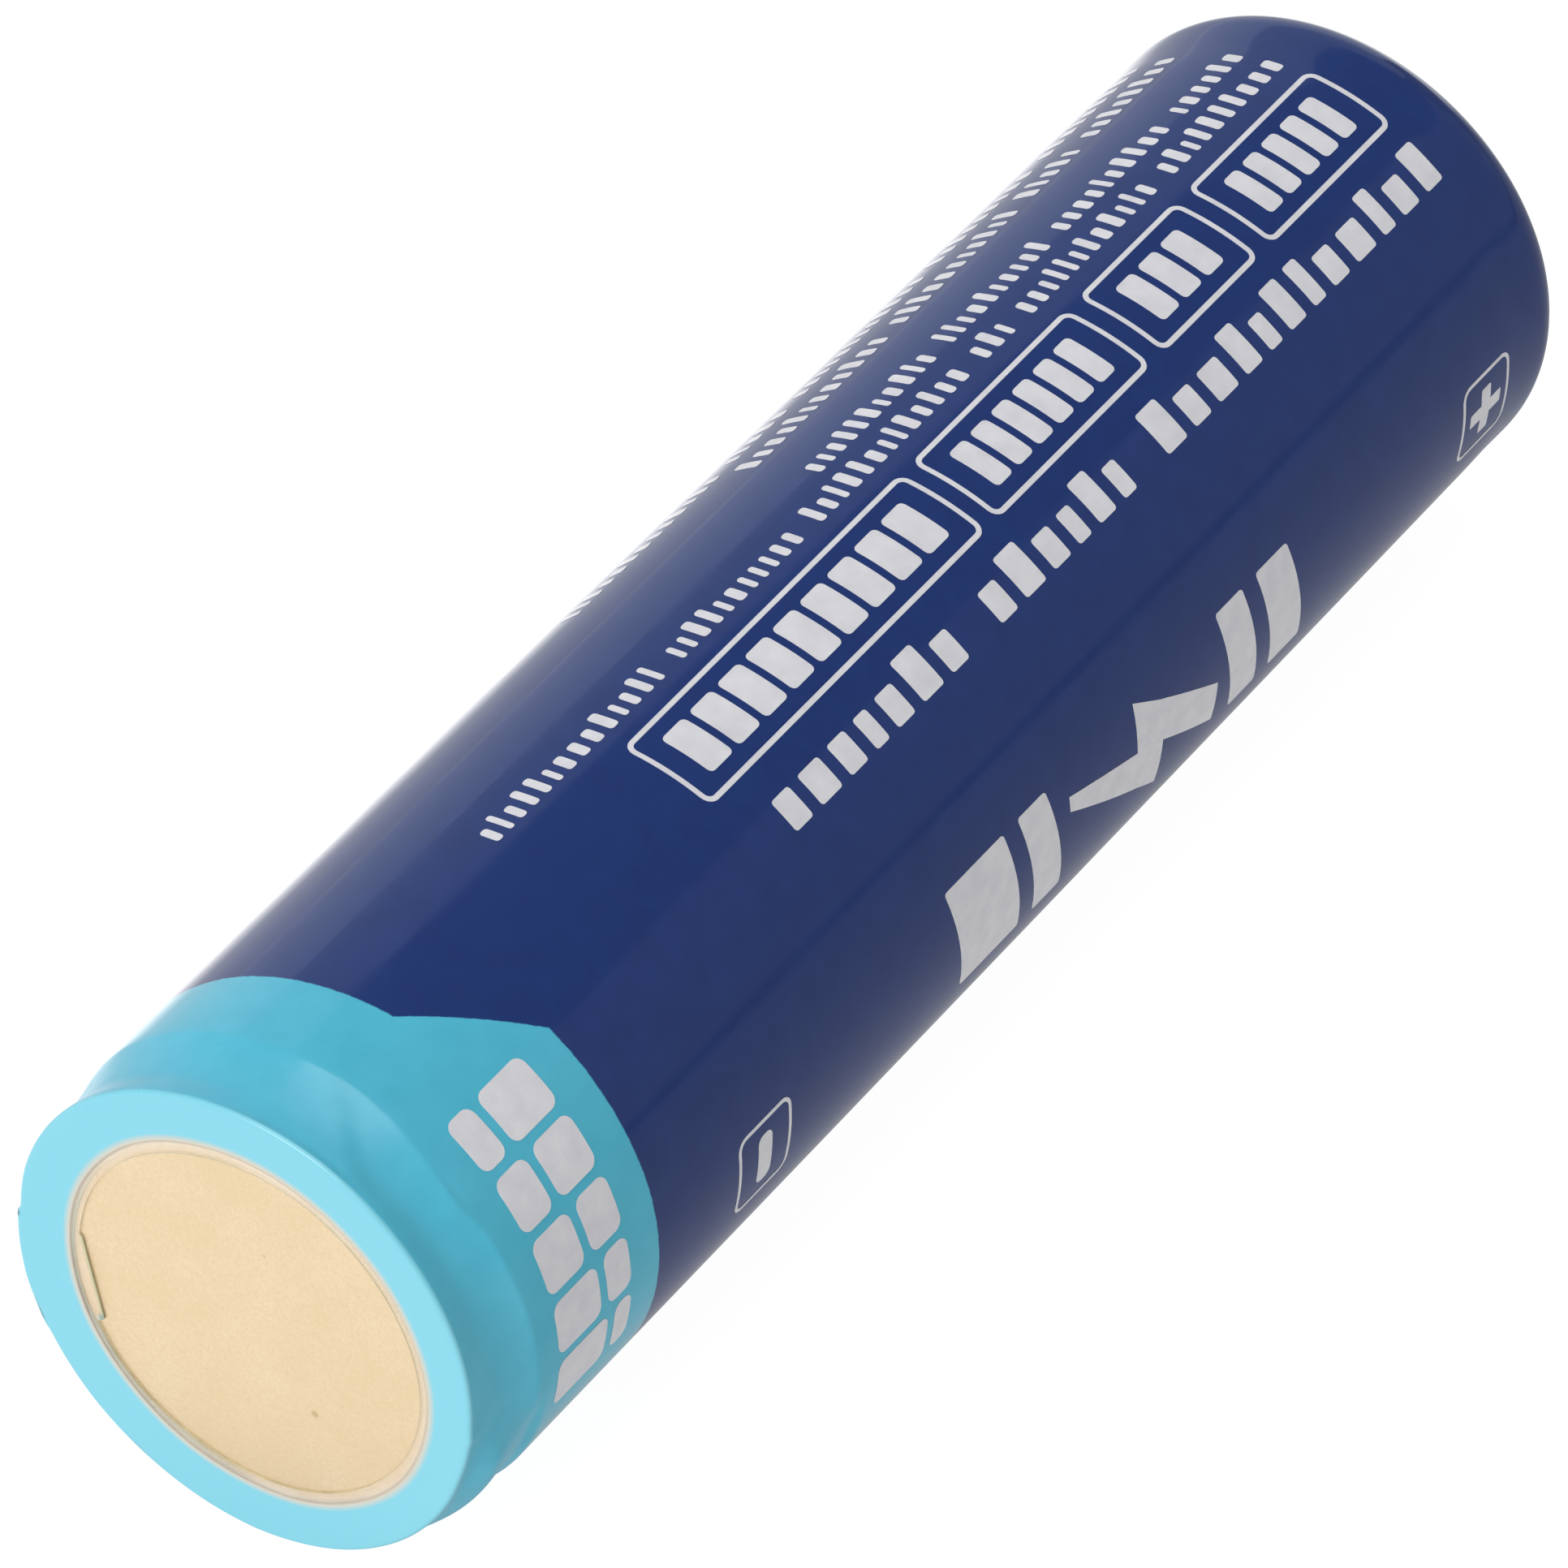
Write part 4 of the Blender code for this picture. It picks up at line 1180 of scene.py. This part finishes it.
def flat_sheet(name, reach, height, material):
    """Large level sheet for the studio, not part of the cell."""
    bm = bmesh.new()
    cells = 8
    grid = []
    for i in range(cells + 1):
        x = reach * (2 * i / cells - 1)
        spots = [(x, reach * (2 * k / cells - 1), height) for k in range(cells + 1)]
        grid.append([bm.verts.new(spot) for spot in spots])
    for low, high in zip(grid, grid[1:]):
        bridge(bm, low, high, closed=False)
    bm.normal_update()
    for face in bm.faces:
        if face.normal.z < 0:
            face.normal_flip()
    mesh = bpy.data.meshes.new(name)
    bm.to_mesh(mesh)
    bm.free()
    mesh.materials.append(material)
    sheet = bpy.data.objects.new(name, mesh)
    bpy.context.scene.collection.objects.link(sheet)
    return sheet


FLOOR_GLOW = 0.97


def make_floor():
    """Bright plain table top."""
    material, tree, principled = new_material("table_top")
    tone = map_range(tree, noise_node(tree, 4, 2), 0.3, 0.7)
    colour = mix_colours(tree, tone, (0.12, 0.12, 0.12), (0.11, 0.11, 0.11))
    tree.links.new(colour, principled.inputs["Base Color"])
    principled.inputs["Roughness"].default_value = 0.9
    principled.inputs["Specular IOR Level"].default_value = 0.2
    principled.inputs["Emission Color"].default_value = (1, 1, 1, 1)
    principled.inputs["Emission Strength"].default_value = FLOOR_GLOW
    floor = flat_sheet("table_top", 2.0, 0.0, material)
    floor.visible_glossy = False


# Glow of the table in the gloss, on the near side, the far side and before the negative end
NEAR_GLOW = 0.4
FAR_GLOW = 0.78
EDGE_GLOW = 0.65
FRONT_GLOW = 1.05


def make_reflected_table():
    """What the gloss sees of the table: lit behind and before the cell, dim on the near side."""
    material, tree, principled = new_material("reflected_table")
    split = tree.nodes.new("ShaderNodeSeparateXYZ")
    tree.links.new(coordinates(tree), split.inputs[0])
    x, y, _ = split.outputs
    side = map_range(tree, y, -0.006, 0.006, NEAR_GLOW, FAR_GLOW)
    near = map_range(tree, y, 0.024, 0.038, EDGE_GLOW, 0.0)
    behind = map_range(tree, y, 0.006, 0.02)
    side = math_node(tree, "ADD", side, math_node(tree, "MULTIPLY", near, behind))
    front = map_range(tree, x, NEGATIVE_END - 0.004, NEGATIVE_END, 1.0, 0.0)
    lift = math_node(tree, "MULTIPLY", front, math_node(tree, "SUBTRACT", FRONT_GLOW, side))
    glow = math_node(tree, "ADD", side, lift)
    principled.inputs["Base Color"].default_value = (0, 0, 0, 1)
    principled.inputs["Specular IOR Level"].default_value = 0.0
    principled.inputs["Emission Color"].default_value = (1, 1, 1, 1)
    tree.links.new(glow, principled.inputs["Emission Strength"])
    table = flat_sheet("reflected_table", 2.0, -0.0002, material)
    table.visible_camera = False
    table.visible_diffuse = False
    table.visible_shadow = False
    table.visible_transmission = False


def add_light(name, centre, width, height, radiance, tint):
    """Rectangular soft light of a given radiance, which faces the cell."""
    light = bpy.data.lights.new(name, "AREA")
    light.color = tint
    light.shape = "RECTANGLE"
    light.size = width
    light.size_y = height
    light.energy = radiance * math.pi * width * height
    obj = bpy.data.objects.new(name, light)
    obj.location = centre
    away = Vector(centre) - Vector((0, 0, AXIS_HEIGHT))
    obj.rotation_euler = away.to_track_quat("Z", "Y").to_euler()
    obj.visible_camera = False
    bpy.context.scene.collection.objects.link(obj)


COOL = (0.93, 1.0, 1.12)
# Lights: name, centre, width, height, radiance, tint
LIGHTS = (
    ("soft_box", (0.0, 0.05, 1.0), 1.0, 0.8, 2.15, (1, 1, 1)),
    ("end_lamp", (-0.95, 0.15, 0.55), 0.5, 0.5, 9.8, (1, 1, 1)),
    ("low_card", (0.78, 0.87, 0.215), 1.7, 0.46, 0.56, COOL),
    ("high_card", (0.72, 0.66, 0.6), 1.7, 0.42, 0.3, COOL),
    ("side_card", (0.66, -0.7, 0.4), 1.2, 0.7, 0.14, (1, 1, 1)),
)
ROOM_LIGHT = 0.24


def light_scene():
    """Soft box above, a lamp before the negative end, cards behind, and a dim room."""
    world = bpy.data.worlds.new("studio")
    world.use_nodes = True
    background = world.node_tree.nodes["Background"]
    background.inputs["Color"].default_value = (1, 1, 1, 1)
    background.inputs["Strength"].default_value = ROOM_LIGHT
    bpy.context.scene.world = world
    for light in LIGHTS:
        add_light(*light)


CAMERA_LENS = 294.5
CAMERA_DISTANCE = 0.4306
CAMERA_DIRECTION = (-0.6313, -0.4118, 0.6572)
AIM_PLACE = 31.45


def add_camera():
    """Long lens above and beside the negative end."""
    camera = bpy.data.cameras.new("camera")
    camera.lens = CAMERA_LENS
    camera.sensor_width = 36
    camera.clip_start = 0.01
    camera.clip_end = 10
    obj = bpy.data.objects.new("camera", camera)
    back = Vector(CAMERA_DIRECTION).normalized()
    aim = Vector((NEGATIVE_END + AIM_PLACE * MM, 0, AXIS_HEIGHT))
    obj.location = aim + back * CAMERA_DISTANCE
    obj.rotation_mode = "QUATERNION"
    obj.rotation_quaternion = (-back).to_track_quat("-Z", "Y")
    bpy.context.scene.collection.objects.link(obj)
    bpy.context.scene.camera = obj
    bpy.context.scene.view_settings.view_transform = "Standard"


# ---- the whole scene


ink = white_ink()
make_sleeve(printed_film())
make_clear_margin(clear_film(), film_cut_shade())
make_contact_plate(gold_plate())
paper = plain_surface("ring_paper", ((0.82, 0.82, 0.8), (0.75, 0.75, 0.73)), 0.8, grain=3000)
nickel = plain_surface("button_nickel", ((0.68, 0.66, 0.62), (0.6, 0.58, 0.55)), 0.24, metal=1.0)
make_cover_ring(paper)
make_button(nickel)
make_print(ink)
finish_inner_parts()
make_floor()
make_reflected_table()
light_scene()
add_camera()
